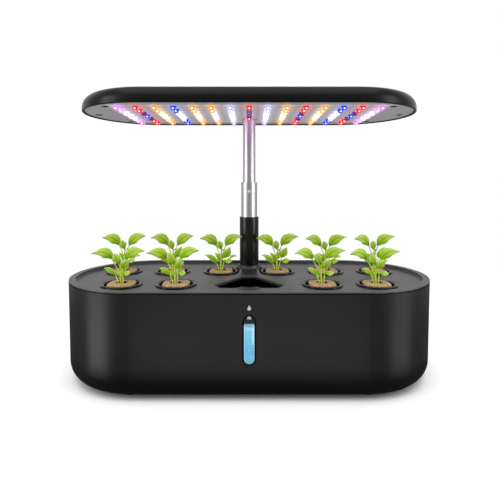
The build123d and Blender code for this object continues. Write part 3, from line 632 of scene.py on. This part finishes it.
def foam_block(low, high, facet, pore, seed):
    """Points and faces of a closed block whose faces the foam's pores push in and out."""
    points, index = [], {}
    size = high - low
    steps = [max(2, round(side / facet)) for side in size]

    def vertex(i, j, k):
        key = (i, j, k)
        if key not in index:
            place = Vector([low[a] + size[a] * key[a] / steps[a] for a in range(3)])
            inward = ((low + high) / 2 - place).normalized()
            dent = max(0.0, noise.noise(place / pore + Vector((seed, 0, 0)))) * pore * 0.6
            index[key] = len(points)
            points.append(place + inward * dent)
        return index[key]

    faces = []
    for axis in range(3):
        a, b = (axis + 1) % 3, (axis + 2) % 3
        for end in (0, steps[axis]):
            for i in range(steps[a]):
                for j in range(steps[b]):
                    corners = []
                    for di, dj in ((0, 0), (1, 0), (1, 1), (0, 1)):
                        key = [0, 0, 0]
                        key[axis], key[a], key[b] = end, i + di, j + dj
                        corners.append(vertex(*key))
                    faces.append(tuple(corners))
    return points, faces


def cell_distance(point, scale):
    """Distance from the middle of a foam cell, which is largest in its walls."""
    node = add_node(point.id_data, "ShaderNodeTexVoronoi", inputs={"Scale": scale})
    link(point, node.inputs["Vector"])
    return node.outputs["Distance"]


foam_settings = {"Roughness": 0.95, "Specular IOR Level": 0.2}
foam_black, shader, point = shader_material("filter_foam_black", foam_settings)
cells = cell_distance(point, 750.0)
paint(shader, mixed(cells, 0.004, 0.03))
add_bump(shader, cells, 0.0004)
foam_facet, foam_pore, foam_seed = 0.7 * mm, 1.6 * mm, 3.0
filter_mesh = mesh_from("foam_filter", *foam_block(*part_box("pump_filter"), foam_facet, foam_pore, foam_seed))
foam_filter = new_piece("foam_filter", filter_mesh, "tank", "filter_foam", foam_black)
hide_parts("pump_filter")

# ---- Planting deck
# The lift-off lid, moulded in the same black but with a coarser spark grain that scatters light, so it
# looks greyer than the tank. The pole's collar and its ramp are part of it, and darker. Below its top surface,
# in the walls of the holes and the fill opening, it is painted near black and matt as painted shade.
collar_half_width, collar_front = 19 * mm, 1.5 * mm
cup_flange_height = 1.5 * mm
deck_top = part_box("basket_01")[1].z - cup_flange_height
deck_black = moulded_plastic("deck_spark_grain", (0.050, 0.043, 0.050), 0.45, 0.45, 0.00002, 0.9)
tree = deck_black.node_tree
shader = tree.nodes["Principled BSDF"]
point = object_point(tree)
# Painted shade: everything below the deck's top surface is near black.
clear_of_painted_recess_shade = height_ramp(point, deck_top - 2.0 * mm, deck_top, [(0.0, 0.0), (0.5, 0.05), (0.85, 1.0)])
flat_tone = shader.inputs["Base Color"].links[0].from_socket
split = separate(point)
near_pole = times(is_less(absolute(split["X"]), collar_half_width), is_more(split["Y"], collar_front))
raised = height_ramp(point, deck_top, deck_top + 2 * mm, [(0.0, 0.0), (0.1, 0.0), (0.4, 1.0)])
on_collar = times(raised, near_pole)
moulded_tone = mixed(on_collar, flat_tone, 0.008)
paint(shader, mixed(clear_of_painted_recess_shade, 0.003, moulded_tone))
flat_gloss = shader.inputs["Roughness"].links[0].from_socket
link(larger(flat_gloss, remap(clear_of_painted_recess_shade, 0.9, 0.0)), shader.inputs["Roughness"])
dress(deck_black, "planting_deck")

# ---- Pole
# Three telescoping tubes: black powder-coated base, then two of satin-anodised aluminium, with thin
# nylon bushes between them and a small white rivet in a punched hole, which holds the upper bush.
powder_black = moulded_plastic("powder_coat_black", (0.004, 0.004, 0.0045), 0.22, 0.25, 0.000002, 0.45)
dress(powder_black, "pole_base_tube")
bush_black = moulded_plastic("bush_nylon", (0.02, 0.02, 0.02), 0.45, 0.4, 0.00001)
dress(bush_black, "lower_pole_bush", "upper_pole_bush")


def drawn_aluminium(name, low, high, tones, roughness):
    """Anodised tube with the faint lengthways lines of the drawing die, toned by height."""
    made, shader, point = shader_material(name, {"Metallic": 1.0})
    lines = noise_value(stretched(point, (1.0, 1.0, 0.02)), 1500.0, 3.0)
    cloud = noise_value(point, 45.0)
    link(remap(cloud, roughness - 0.04, roughness + 0.05), shader.inputs["Roughness"])
    add_bump(shader, lines, 0.000002)
    return made, shader, mixed(lines, height_ramp(point, low, high, tones), 0.86, "MULTIPLY")


# The top tube has the violet light of the diodes above it painted into its colour, strongest at the top.
silver_tones = [(0.0, (0.80, 0.80, 0.81)), (1.0, (0.80, 0.79, 0.81))]
painted_diode_light_tones = [(0.0, (0.80, 0.78, 0.83)), (1.0, (0.76, 0.63, 0.81))]
rivet_height = 179.5 * mm
rivet_shadow_reach = 2.4 * mm
silver, shader, tone = drawn_aluminium("anodised_silver", 120 * mm, 190 * mm, silver_tones, 0.34)
split = separate(object_point(silver.node_tree))
# Painted shadow: the tube is darkened round the rivet, on its front side only.
from_rivet = divided(hypotenuse(minus(split["Z"], rivet_height), split["X"]), rivet_shadow_reach)
painted_rivet_shadow = times(ramp(from_rivet, [(0.0, 1.0), (0.74, 1.0), (0.86, 0.0)]), is_less(split["Y"], 0.0))
paint(shader, mixed(painted_rivet_shadow, tone, 0.12))
dress(silver, "pole_middle_tube")
top_silver, shader, tone = drawn_aluminium("anodised_silver_top", 180 * mm, 256 * mm, painted_diode_light_tones, 0.36)
paint(shader, tone)
dress(top_silver, "pole_top_tube")
rivet_white = speckled("rivet_white", {"Roughness": 0.3}, 0.84, 0.95, 2400.0, 3.0, 0.000005)
dress(rivet_white, "bush_rivet")

# ---- Lamp bracket, driver and housing
# The bracket is glass-filled nylon. The driver is a green circuit board with black components on it.
# The housing is a shallow satin black cap with a push button in its top.
dress(bush_black, "pole_bracket")
circuit_thickness = 1.65 * mm
circuit_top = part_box("driver_board")[0].z + circuit_thickness
circuit, shader, point = shader_material("green_circuit_board", {"Roughness": 0.35})
above_board = is_more(separate(point)["Z"], circuit_top)
tracks = add_node(circuit.node_tree, "ShaderNodeTexBrick", inputs={"Scale": 320.0})
greens = {"Color1": (0.010, 0.10, 0.035), "Color2": (0.014, 0.14, 0.05), "Mortar": (0.05, 0.24, 0.10)}
for socket, green in greens.items():
    feed(tracks.inputs[socket], green)
link(point, tracks.inputs["Vector"])
paint(shader, mixed(above_board, tracks.outputs["Color"], (0.02, 0.02, 0.022)))
add_bump(shader, tracks.outputs["Fac"], 0.00002)
dress(circuit, "driver_board")

lamp_black = moulded_plastic("lamp_satin_black", (0.006, 0.006, 0.006), 0.26, 0.5, 0.000012, 0.14)
dress(lamp_black, "lamp_housing")
button_black = moulded_plastic("button_satin_black", (0.02, 0.02, 0.021), 0.25, 0.4, 0.00001)
dress(button_black, "lamp_button")

# ---- Light board and its diodes
# An aluminium board with pale solder mask, with a painted glow round every diode, whiter in the middle rows.
# The diodes are low epoxy domes in fifteen columns of seven, less one at the pole, white-hot in the middle
# with their colour round it.
led_columns = 15
led_rows = 7
led_radius = 2.9 * mm
led_height = 4.0 * mm
halo_radius = 12.0 * mm
diode_strength = 1.5
board_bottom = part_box("led_board")[0].z
first_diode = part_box("leds_violet")[0]
pitch_x = -2 * (first_diode.x + led_radius) / (led_columns - 1)
pitch_y = -2 * (first_diode.y + led_radius) / (led_rows - 1)


def grid_place(point):
    """Sockets of the offsets from the nearest diode's axis, and of its column and row, from the middle."""
    split = separate(point)
    column = nearest(divided(split["X"], pitch_x))
    row = nearest(divided(split["Y"], pitch_y))
    return minus(split["X"], times(column, pitch_x)), minus(split["Y"], times(row, pitch_y)), column, row


def by_column(column, values):
    """Value or colour of a diode's column, from a list with one for each."""
    stops = [(i / led_columns, value) for i, value in enumerate(values)]
    return ramp(scaled(column, 1 / led_columns, 0.5), stops, "CONSTANT")


violet_glow, red_glow, amber_glow = (0.85, 0.35, 1.0), (1.0, 0.12, 0.10), (1.0, 0.62, 0.25)
blue_glow, white_glow = (0.35, 0.42, 1.0), (0.75, 0.8, 1.0)
column_glow = [violet_glow, red_glow, amber_glow, blue_glow, amber_glow, amber_glow, white_glow, red_glow]
column_glow += [white_glow, amber_glow, red_glow, amber_glow, blue_glow, red_glow, violet_glow]

board_settings = {"Roughness": 0.42, "Specular IOR Level": 0.4, "Emission Strength": 0.8}
board_grey, shader, point = shader_material("light_board", board_settings)
off_x, off_y, column, row = grid_place(point)
mask_grain = noise_value(point, 1400.0, 3.0)
paint(shader, mixed(mask_grain, (0.74, 0.72, 0.75), (0.86, 0.84, 0.87)))
# Painted glow round each diode, whiter in the middle rows.
halo_stops = [(0.0, 0.6), (0.28, 0.6), (0.4, 0.4), (0.6, 0.26), (1.0, 0.16)]
halo = ramp(divided(hypotenuse(off_x, off_y), halo_radius), halo_stops)
in_grid = times(is_less(absolute(column), led_columns / 2), is_less(absolute(row), led_rows / 2))
middle = ramp(absolute(divided(row, 3.0)), [(0.0, 1.0), (1.0, 0.0)])
glow_colour = mixed(remap(middle, 0.35, 0.75), by_column(column, column_glow), (0.88, 0.80, 1.0))
link(mixed(times(halo, in_grid), (0.05, 0.048, 0.05), glow_colour), shader.inputs["Emission Color"])
add_bump(shader, mask_grain, 0.00001)
dress(board_grey, "led_board")


def diode(name, ring, core, bloom, among_red=None):
    """Epoxy dome, white where its chip shows and coloured around it. It can be duller among red ones."""
    made, shader, point = shader_material(name, {"Roughness": 0.15, "Emission Strength": diode_strength})
    off_x, off_y, column, row = grid_place(point)
    below = divided(minus(board_bottom, separate(point)["Z"]), led_height)
    aside = divided(smaller(absolute(off_x), absolute(off_y)), led_radius)
    narrow = ramp(aside, [(0.0, 1.0), (0.16, 1.0), (0.4, 0.0)])
    band = ramp(below, [(0.0, 0.0), (0.36, 0.0), (0.52, 1.0), (0.7, 1.0), (0.84, 0.0)])
    from_axis = divided(hypotenuse(off_x, off_y), led_radius)
    crown = ramp(from_axis, [(0.0, 1.0), (0.14, 1.0), (0.3, 0.0)])
    hot = larger(times(narrow, band), crown)
    from_middle = divided(absolute(row), led_rows)
    hot = larger(hot, ramp(from_middle, [(0.0, bloom), (0.16, 0.8 * bloom), (0.35, 0.0)]))
    tone = mixed(hot, tuple(c / diode_strength for c in ring), core)
    if among_red:
        dull = mixed(crown, tuple(c / diode_strength for c in among_red), (0.5, 0.45, 0.6))
        tone = mixed(by_column(column, [float(glow is red_glow) for glow in column_glow]), tone, dull)
    link(tone, shader.inputs["Emission Color"])
    dark, light = (tuple(share * c for c in ring) for share in (0.1, 0.3))
    paint(shader, mixed(noise_value(point, 900.0), dark, light))
    return made


for colour, *settings in (
    ("red", (0.80, 0.005, 0.01), (1.0, 0.7, 0.68), 0.0),
    ("blue", (0.01, 0.03, 0.80), (0.7, 0.78, 1.0), 0.0),
    ("white", (0.50, 0.46, 0.95), 1.0, 0.75, (0.13, 0.05, 0.15)),
    ("amber", (0.90, 0.33, 0.03), (1.0, 0.93, 0.76), 0.7),
    ("violet", (0.75, 0.25, 0.88), (1.0, 0.9, 1.0), 0.75, (0.09, 0.005, 0.13)),
):
    dress(diode(f"diode_{colour}", *settings), f"leds_{colour}")

screw_settings = {"Roughness": 0.7, "Specular IOR Level": 0.03}
screw_black = speckled("blackened_screw", screw_settings, 0.002, 0.008, 1200.0, 3.0, 0.00001)
dress(screw_black, "lamp_screws")

# ---- Net cups
# Thin polypropylene cups, glossy from the mould, hanging by their flanges in the deck's holes. The roll
# of a flange is a relief, told by how far out it lies in the cup's own box.
cup_black = moulded_plastic("cup_gloss_black", (0.003, 0.003, 0.0035), 0.14, 1.2, 0.000006, 0.32)
tree = cup_black.node_tree
shader = tree.nodes["Principled BSDF"]
boxed = separate(add_node(tree, "ShaderNodeTexCoord").outputs["Generated"])
out = times(hypotenuse(minus(boxed["X"], 0.5), minus(boxed["Y"], 0.5)), 2.0)
rolled = ramp(out, [(0.0, 0.0), (0.82, 0.0), (0.9, 1.0), (1.0, 0.0)], "EASE")
add_bump(shader, rolled, 0.0005)
pods = [f"{number:02d}" for number in range(1, 11)]
dress(cup_black, *[f"basket_{pod}" for pod in pods])

# ---- Growing sponges
# Soft brown foam plugs, cut as rounded squares that taper into the cup, with a dimple for the stems. The
# foam is painted near black as painted shade in the dimple and below its top edge, told by a UV map of the
# share outward and upward.
def uv_values(point, name):
    """Sockets of a UV map's two values, as X and Y."""
    return separate(add_node(point.id_data, "ShaderNodeUVMap", uv_map=name).outputs[0])


sponge_brown, shader, point = shader_material("growing_foam", {"Roughness": 0.9, "Specular IOR Level": 0.15})
pores = cell_distance(point, 900.0)
patch = noise_value(point, 260.0, 4.0, 0.65)
tan = mixed(patch, (0.44, 0.27, 0.13), (0.86, 0.62, 0.36))
pit = ramp(pores, [(0.0, 0.0), (0.32, 0.35), (0.6, 1.0)])
foam = mixed(pit, (0.24, 0.12, 0.055), tan)
split = uv_values(point, "out_and_up")
painted_dimple_shade = ramp(split["X"], [(0.0, 1.0), (0.37, 1.0), (0.43, 0.0)])
painted_shade_below_top = ramp(split["Y"], [(0.0, 1.0), (0.86, 1.0), (0.945, 0.72), (0.985, 0.0)])
sponge_painted_shade = larger(painted_dimple_shade, painted_shade_below_top)
paint(shader, mixed(sponge_painted_shade, foam, (0.022, 0.010, 0.005)))
add_bump(shader, pores, 0.00035)

sponge_ring_points = 72
square_power = 3.6
sponge_half_width = 12.5 * mm
dimple_floor = 5.0 * mm
sponge_edge = 1.8 * mm
edge_steps = 5
seed_step = 7.3


def ring_faces(start, rings, count):
    """Faces of a tube of rings of points, from its first point on, closed at both ends."""
    faces = []
    for ring in range(start, start + (rings - 1) * count, count):
        for i in range(count):
            a, b = ring + i, ring + (i + 1) % count
            faces.append((a, b, b + count, a + count))
    last = start + (rings - 1) * count
    return faces + [tuple(range(start, start + count))[::-1], tuple(range(last, last + count))]


def write_uv(mesh, name, maps):
    """UV map from a pair of values for each point."""
    layer = mesh.uv_layers.new(name=name)
    for loop in mesh.loops:
        layer.data[loop.index].uv = maps[loop.vertex_index]


def sponge_mesh(name, low, high, seed):
    """Closed plug from rings: up the tapered side, over the rounded edge, and down into the dimple."""
    centre = (low + high) / 2
    tall = high.z - low.z
    rings = [(0.0, 0.70), (0.25 * tall, 0.775), (0.5 * tall, 0.85), (0.75 * tall, 0.925)]
    rings.append((tall - sponge_edge, 1.0))
    for i in range(1, edge_steps + 1):
        angle = math.pi / 2 * i / edge_steps
        share = 1.0 - (sponge_edge / sponge_half_width) * (1 - math.cos(angle))
        rings.append((tall - sponge_edge * (1 - math.sin(angle)), share))
    rings += [(tall + 0.25 * mm * (1 - share), share) for share in (0.72, 0.6, 0.5, 0.42)]
    rings += [(tall - 0.5 * mm, 0.36), (tall - 1.8 * mm, 0.32), (tall - 3.4 * mm, 0.27)]
    rings += [(tall - dimple_floor, 0.18), (tall - dimple_floor - 0.3 * mm, 0.06)]
    points, maps = [], []
    for height, share in rings:
        squareness = square_power if share > 0.4 else 2.0
        for i in range(sponge_ring_points):
            angle = 2 * math.pi * i / sponge_ring_points
            c, s = math.cos(angle), math.sin(angle)
            roundness = (abs(c) ** squareness + abs(s) ** squareness) ** (1 / squareness)
            radius = sponge_half_width * share / roundness
            place = Vector((centre.x + radius * c, centre.y + radius * s, low.z + height))
            rough = noise.noise(place * 420 + Vector((seed, 0, 0)))
            lumpy = noise.noise(place * 130 + Vector((0, seed, 0)))
            out = Vector((c, s, 0.6 if height > 0.9 * tall else 0.0))
            points.append(place + out * (0.16 * rough + 0.22 * lumpy) * mm)
            maps.append((share, height / tall))
    mesh = mesh_from(name, points, ring_faces(0, len(rings), sponge_ring_points))
    write_uv(mesh, "out_and_up", maps)
    return mesh


for number, pod in enumerate(pods):
    mesh = sponge_mesh(f"foam_sponge_{pod}", *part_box(f"sponge_{pod}"), seed_step * number)
    sponge = new_piece(f"foam_sponge_{pod}", mesh, f"pod_{pod}", "growing_sponge", sponge_brown)
    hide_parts(f"sponge_{pod}")

# ---- Seedlings
# Young basil-like plants: a pale stem with thin stalks, and soft ovate leaves with a sunk midrib and
# raised quilting between the side veins. Leaves are listed as base, bend and tip with a width, in
# millimetres from the cup's centre at its flange.
vein_count, vein_slant = 7.0, 2.2
leaf_green, shader, point = shader_material("leaf_green", {"Roughness": 0.45, "Specular IOR Level": 0.15})
split = uv_values(point, "along_and_across")
along, across = split["X"], absolute(scaled(split["Y"], 2.0, -1.0))
blade = ramp(along, [
    (0.0, (0.18, 0.44, 0.001)), (0.25, (0.32, 0.60, 0.003)),
    (0.6, (0.52, 0.76, 0.09)), (1.0, (0.68, 0.86, 0.26)),
])
blade = mixed(remap(noise_value(point, 420.0, 4.0), 0.0, 0.5), blade, (0.46, 0.70, 0.01))
rim = ramp(across, [(0.0, 0.0), (0.8, 0.0), (1.0, 0.7)])
blade = mixed(rim, blade, (0.74, 0.88, 0.38))
vein_phase = fraction(minus(times(along, vein_count), times(across, vein_slant)))
vein_wave = absolute(minus(vein_phase, 0.5))
side_vein = ramp(vein_wave, [(0.0, 1.0), (0.07, 0.5), (0.16, 0.0)])
midrib = ramp(across, [(0.0, 1.0), (0.05, 0.8), (0.12, 0.0)])
veins = larger(times(side_vein, 0.55), times(midrib, 0.85))
paint(shader, mixed(veins, blade, (0.07, 0.24, 0.001)))
add_bump(shader, noise_value(point, 1500.0), 0.00004)

stem_settings = {"Roughness": 0.4, "Specular IOR Level": 0.4}
stem_green = speckled(
    "stem_pale_green", stem_settings, (0.46, 0.68, 0.01), (0.84, 0.92, 0.14), 700.0, 2.0, 0.00003)

leaf_steps = 18
leaf_side_steps = 6
leaf_thickness, leaf_edge_thinning = 0.28 * mm, 0.35
stem_sides = 10
stem_steps = 5


def curve_point(base, bend, tip, t):
    return base * (1 - t) ** 2 + bend * 2 * t * (1 - t) + tip * t**2


pointed, rounded = (0.8, 1.1), (1.15, 0.72)


def leaf_outline(t, shape):
    """Half width of a blade along its midrib, 1 at its widest."""
    return max(0.0, math.sin(math.pi * t ** shape[0])) ** shape[1]


def add_leaf(points, faces, maps, leaf, seed):
    """Blade with both faces closed round its margin, appended to the plant's lists."""
    base, bend, tip, width, facing, fold, shape = leaf
    base, bend, tip = Vector(base), Vector(bend), Vector(tip)
    facing = Vector(facing).normalized()
    rows = []
    for i in range(leaf_steps + 1):
        t = i / leaf_steps
        centre = curve_point(base, bend, tip, t)
        before, after = (curve_point(base, bend, tip, u) for u in (max(0, t - 0.02), min(1, t + 0.02)))
        ahead = (after - before).normalized()
        side = ahead.cross(facing).normalized()
        face_normal = side.cross(ahead).normalized()
        half = max(0.12, width / 2 * leaf_outline(t, shape))
        row = []
        for j in range(-leaf_side_steps, leaf_side_steps + 1):
            v = j / leaf_side_steps
            aside = abs(v)
            wave = 0.05 * math.sin(9 * t + 2.1 * seed + (1.5 if v > 0 else 0)) * aside**3
            quilt = 0.018 * math.sin(2 * math.pi * (vein_count * t - vein_slant * aside))
            lift = fold * aside - 0.22 * v * v + wave + quilt * math.sin(math.pi * min(1, aside * 1.1))
            toothed = 1 + 0.03 * math.sin(38 * t + seed) * aside
            place = centre + side * (v * half * toothed) + face_normal * (lift * width)
            row.append((place, (t, (v + 1) / 2), face_normal))
        rows.append(row)
    width_count = 2 * leaf_side_steps + 1
    start = len(points)
    for sign in (0.5, -0.5):
        for i, row in enumerate(rows):
            for j, (place, coords, face_normal) in enumerate(row):
                at_edge = i in (0, leaf_steps) or j in (0, width_count - 1)
                thick = leaf_thickness / mm * (leaf_edge_thinning if at_edge else 1.0)
                points.append(place + face_normal * sign * thick)
                maps.append(coords)
    sheet = (leaf_steps + 1) * width_count
    for i in range(leaf_steps):
        for j in range(width_count - 1):
            a = start + i * width_count + j
            quad = (a, a + 1, a + 1 + width_count, a + width_count)
            faces.append((quad, 0))
            faces.append((tuple(q + sheet for q in reversed(quad)), 0))
    border = [(0, j) for j in range(width_count)] + [(i, width_count - 1) for i in range(1, leaf_steps + 1)]
    border += [(leaf_steps, j) for j in range(width_count - 2, -1, -1)]
    border += [(i, 0) for i in range(leaf_steps - 1, 0, -1)]
    ring = [start + i * width_count + j for i, j in border]
    for a, b in zip(ring, ring[1:] + ring[:1]):
        faces.append(((b, a, a + sheet, b + sheet), 0))


def add_stalk(points, faces, maps, path, thick_start, thick_end):
    """Round stalk through its points, closed at both ends."""
    line = []
    for k in range(len(path) - 1):
        before = path[max(0, k - 1)]
        after = path[min(len(path) - 1, k + 2)]
        for i in range(stem_steps + (k == len(path) - 2)):
            t = i / stem_steps
            a, b = path[k], path[k + 1]
            tangent_a, tangent_b = (b - before) * 0.5, (after - a) * 0.5
            line.append(
                a * (2 * t**3 - 3 * t**2 + 1) + tangent_a * (t**3 - 2 * t**2 + t)
                + b * (-2 * t**3 + 3 * t**2) + tangent_b * (t**3 - t**2)
            )
    start = len(points)
    for i, centre in enumerate(line):
        ahead = (line[min(len(line) - 1, i + 1)] - line[max(0, i - 1)]).normalized()
        side = ahead.cross(Vector((0, 1, 0))).normalized()
        other = side.cross(ahead)
        t = i / (len(line) - 1)
        radius = thick_start * (1 - t) + thick_end * t
        for j in range(stem_sides):
            angle = 2 * math.pi * j / stem_sides
            points.append(centre + (side * math.cos(angle) + other * math.sin(angle)) * radius)
            maps.append((t, j / stem_sides))
    faces.extend((face, 1) for face in ring_faces(start, len(line), stem_sides))


to_viewer = (0.0, -1.0, 0.45)
tall_plant = {
    "leaves": [
        ((-5.4, -0.4, 26.2), (-9.4, -2, 38.6), (-22.6, -5, 35.2), 11.0, to_viewer, 0.10, pointed),
        ((4.6, 0.2, 26.2), (8.8, -1, 38.0), (22.8, -2.5, 37.2), 10.8, (0.1, -1.0, 0.45), 0.12, pointed),
        ((0.3, -1.0, 22.2), (-1.6, -3.6, 27.6), (-1.6, -3.4, 32.6), 7.4, (0.0, -1.0, 0.2), 0.10, rounded),
        ((0.2, 0, 21.4), (2.0, -1, 23.4), (4.4, -1.5, 23.6), 2.6, (0, -0.6, 1), 0.1, pointed),
        ((4.4, -2, 13.6), (6.6, -4.4, 19.6), (10.4, -4.4, 26.0), 8.8, (0.25, -1.0, 0.2), 0.12, pointed),
        ((3.8, -3, 10.4), (7.6, -6.0, 12.4), (12.4, -7.6, 12.2), 6.4, (0.0, -1.0, 0.7), 0.10, rounded),
        ((-4.2, -1, 6.4), (-8.4, -3.4, 16.2), (-17.4, -6.0, 17.8), 6.0, (-0.1, -1.0, 0.4), 0.14, pointed),
        ((-1.4, 1, 12.8), (-4.2, 3.4, 15.8), (-7.6, 5.0, 18.6), 4.6, (0.0, -0.9, 0.6), 0.10, pointed),
        ((0.6, 1.6, 12.0), (1.2, 7.0, 18.0), (2.6, 14.0, 16.5), 7.4, (0.0, -0.35, 1.0), 0.10, pointed),
        ((-0.8, 1.4, 8.6), (-2.6, 8.0, 14.0), (-4.0, 14.0, 11.0), 7.0, (0.0, -0.3, 1.0), 0.10, pointed),
    ],
    "stalks": [
        ([(0, 0, -6.0), (-0.4, 0, 4), (0, 0, 14), (0.2, -0.6, 22.8)], 1.0, 0.7),
        ([(-0.3, 0, 12.4), (-2.6, 0.3, 19.4), (-5.6, -0.2, 27.2)], 0.6, 0.46),
        ([(0.2, 0, 14), (2.3, 0.5, 20.0), (4.8, 0.3, 27.2)], 0.6, 0.46),
        ([(-1.6, -0.6, -4.5), (-2.8, -0.8, 1.2), (-4.4, -1, 7.2)], 0.62, 0.5),
        ([(0.9, -0.6, -4.5), (1.9, -1.2, 4.0), (3.2, -2.2, 9.8), (4.5, -2.4, 14.4)], 0.66, 0.5),
        ([(0.1, 0.2, 9.4), (0.4, 0.9, 11.0), (0.7, 2.0, 12.6)], 0.5, 0.42),
        ([(-0.2, 0.2, 5.0), (-0.5, 0.9, 7.0), (-0.9, 1.8, 9.0)], 0.5, 0.42),
        ([(-0.2, 0.1, 9.4), (-0.8, 0.6, 11.4), (-1.6, 1.2, 13.2)], 0.46, 0.38),
    ],
}
short_plant = {
    "leaves": [
        ((-9.2, 0, 22.2), (-12.8, -2, 32.8), (-26.6, -5, 28.8), 10.2, to_viewer, 0.10, pointed),
        ((3.8, 0.3, 22.4), (8.2, -0.5, 32.6), (21.6, -2.5, 30.6), 9.8, (0.1, -1.0, 0.45), 0.12, pointed),
        ((-1.1, -1, 17.4), (-4.2, -3.6, 23.2), (-6.2, -3.4, 28.4), 7.2, (0.0, -1.0, 0.2), 0.10, rounded),
        ((0.4, 0.6, 14.0), (-0.6, 0.8, 18.2), (-1.4, 0, 22.0), 5.4, (0.2, -1.0, 0.3), 0.12, pointed),
        ((1.0, -2, 13.6), (2.8, -4.4, 18.4), (6.4, -4.4, 22.4), 7.6, (0.25, -1.0, 0.2), 0.12, rounded),
        ((2.0, -3, 10.0), (5.2, -5.6, 11.2), (9.2, -7.0, 10.6), 5.2, (0.0, -1.0, 0.7), 0.10, rounded),
        ((-5.4, -1, 7.8), (-10.0, -3, 14.2), (-15.0, -5.6, 15.4), 4.8, (-0.1, -1.0, 0.4), 0.14, pointed),
        ((0.4, 1.6, 11.0), (1.0, 7.0, 16.6), (2.2, 13.5, 15.0), 7.2, (0.0, -0.35, 1.0), 0.10, pointed),
        ((-1.4, 1.4, 6.0), (-3.6, 7.4, 10.6), (-6.0, 13.0, 8.4), 6.4, (0.0, -0.3, 1.0), 0.10, pointed),
    ],
    "stalks": [
        ([(0, 0, -6.0), (-1.0, 0, 4), (-0.8, 0, 10.4), (-1.0, -0.6, 18.0)], 1.0, 0.7),
        ([(-0.9, 0, 8.0), (-4.8, 0.3, 14.8), (-9.5, 0, 23.2)], 0.6, 0.46),
        ([(-0.4, 0, 9.4), (1.4, 0.5, 16.0), (4.0, 0.4, 23.4)], 0.6, 0.46),
        ([(-1.6, -0.6, -4.5), (-3.4, -0.8, 2.2), (-5.6, -1, 8.6)], 0.6, 0.46),
        ([(0.9, -0.6, -4.5), (1.5, -1.2, 4.0), (1.6, -2.0, 9.6), (1.1, -2.2, 14.4)], 0.64, 0.5),
        ([(-0.6, 0.2, 8.0), (-0.2, 0.9, 9.8), (0.5, 2.0, 11.6)], 0.5, 0.42),
        ([(-0.6, 0.2, 2.6), (-1.0, 0.9, 4.6), (-1.5, 1.8, 6.4)], 0.5, 0.42),
    ],
}
far_right_leaf = ((9.4, -1, 13.8), (13.2, -2, 18.0), (17.4, -2, 15.6), 3.8, (0.1, -0.7, 0.9), 0.12, pointed)
far_right_stalk = ([(3.0, -1.8, 9.6), (6.2, -1.6, 12.0), (9.6, -1.0, 14.0)], 0.42, 0.34)


def plant_mesh(name, plan, centre, size, turn, seed):
    """Mesh of a plant with its leaves in the first material slot and its stalks in the second."""
    points, faces, maps = [], [], []
    for k, leaf in enumerate(plan["leaves"]):
        add_leaf(points, faces, maps, leaf, seed + 1.7 * k)
    for path, thick_start, thick_end in plan["stalks"]:
        add_stalk(points, faces, maps, [Vector(p) for p in path], thick_start, thick_end)
    place = Matrix.Translation(centre) @ Matrix.Rotation(turn, 4, "Z") @ Matrix.Scale(size * mm, 4)
    mesh = bpy.data.meshes.new(name)
    mesh.from_pydata([tuple(place @ p) for p in points], [], [face for face, _ in faces])
    write_uv(mesh, "along_and_across", maps)
    mesh.shade_smooth()
    for polygon, (_, slot_index) in zip(mesh.polygons, faces):
        polygon.material_index = slot_index
    return mesh


random.seed(5)
for number, pod in enumerate(pods, start=1):
    low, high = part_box(f"basket_{pod}")
    centre = Vector(((low.x + high.x) / 2, (low.y + high.y) / 2, high.z))
    front_row = number <= 4
    plan = short_plant if front_row else tall_plant
    if number in (5, 7, 9):
        plan = {"leaves": plan["leaves"] + [far_right_leaf], "stalks": plan["stalks"] + [far_right_stalk]}
    size = random.uniform(0.98, 1.02)
    turn = math.radians(random.uniform(-4, 4))
    mesh = plant_mesh(f"plant_{pod}", plan, centre, size, turn, float(number))
    plant = new_piece(f"plant_{pod}", mesh, f"pod_{pod}", "leaf", leaf_green, stem_green)
    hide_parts(f"seedling_{pod}")

low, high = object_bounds()
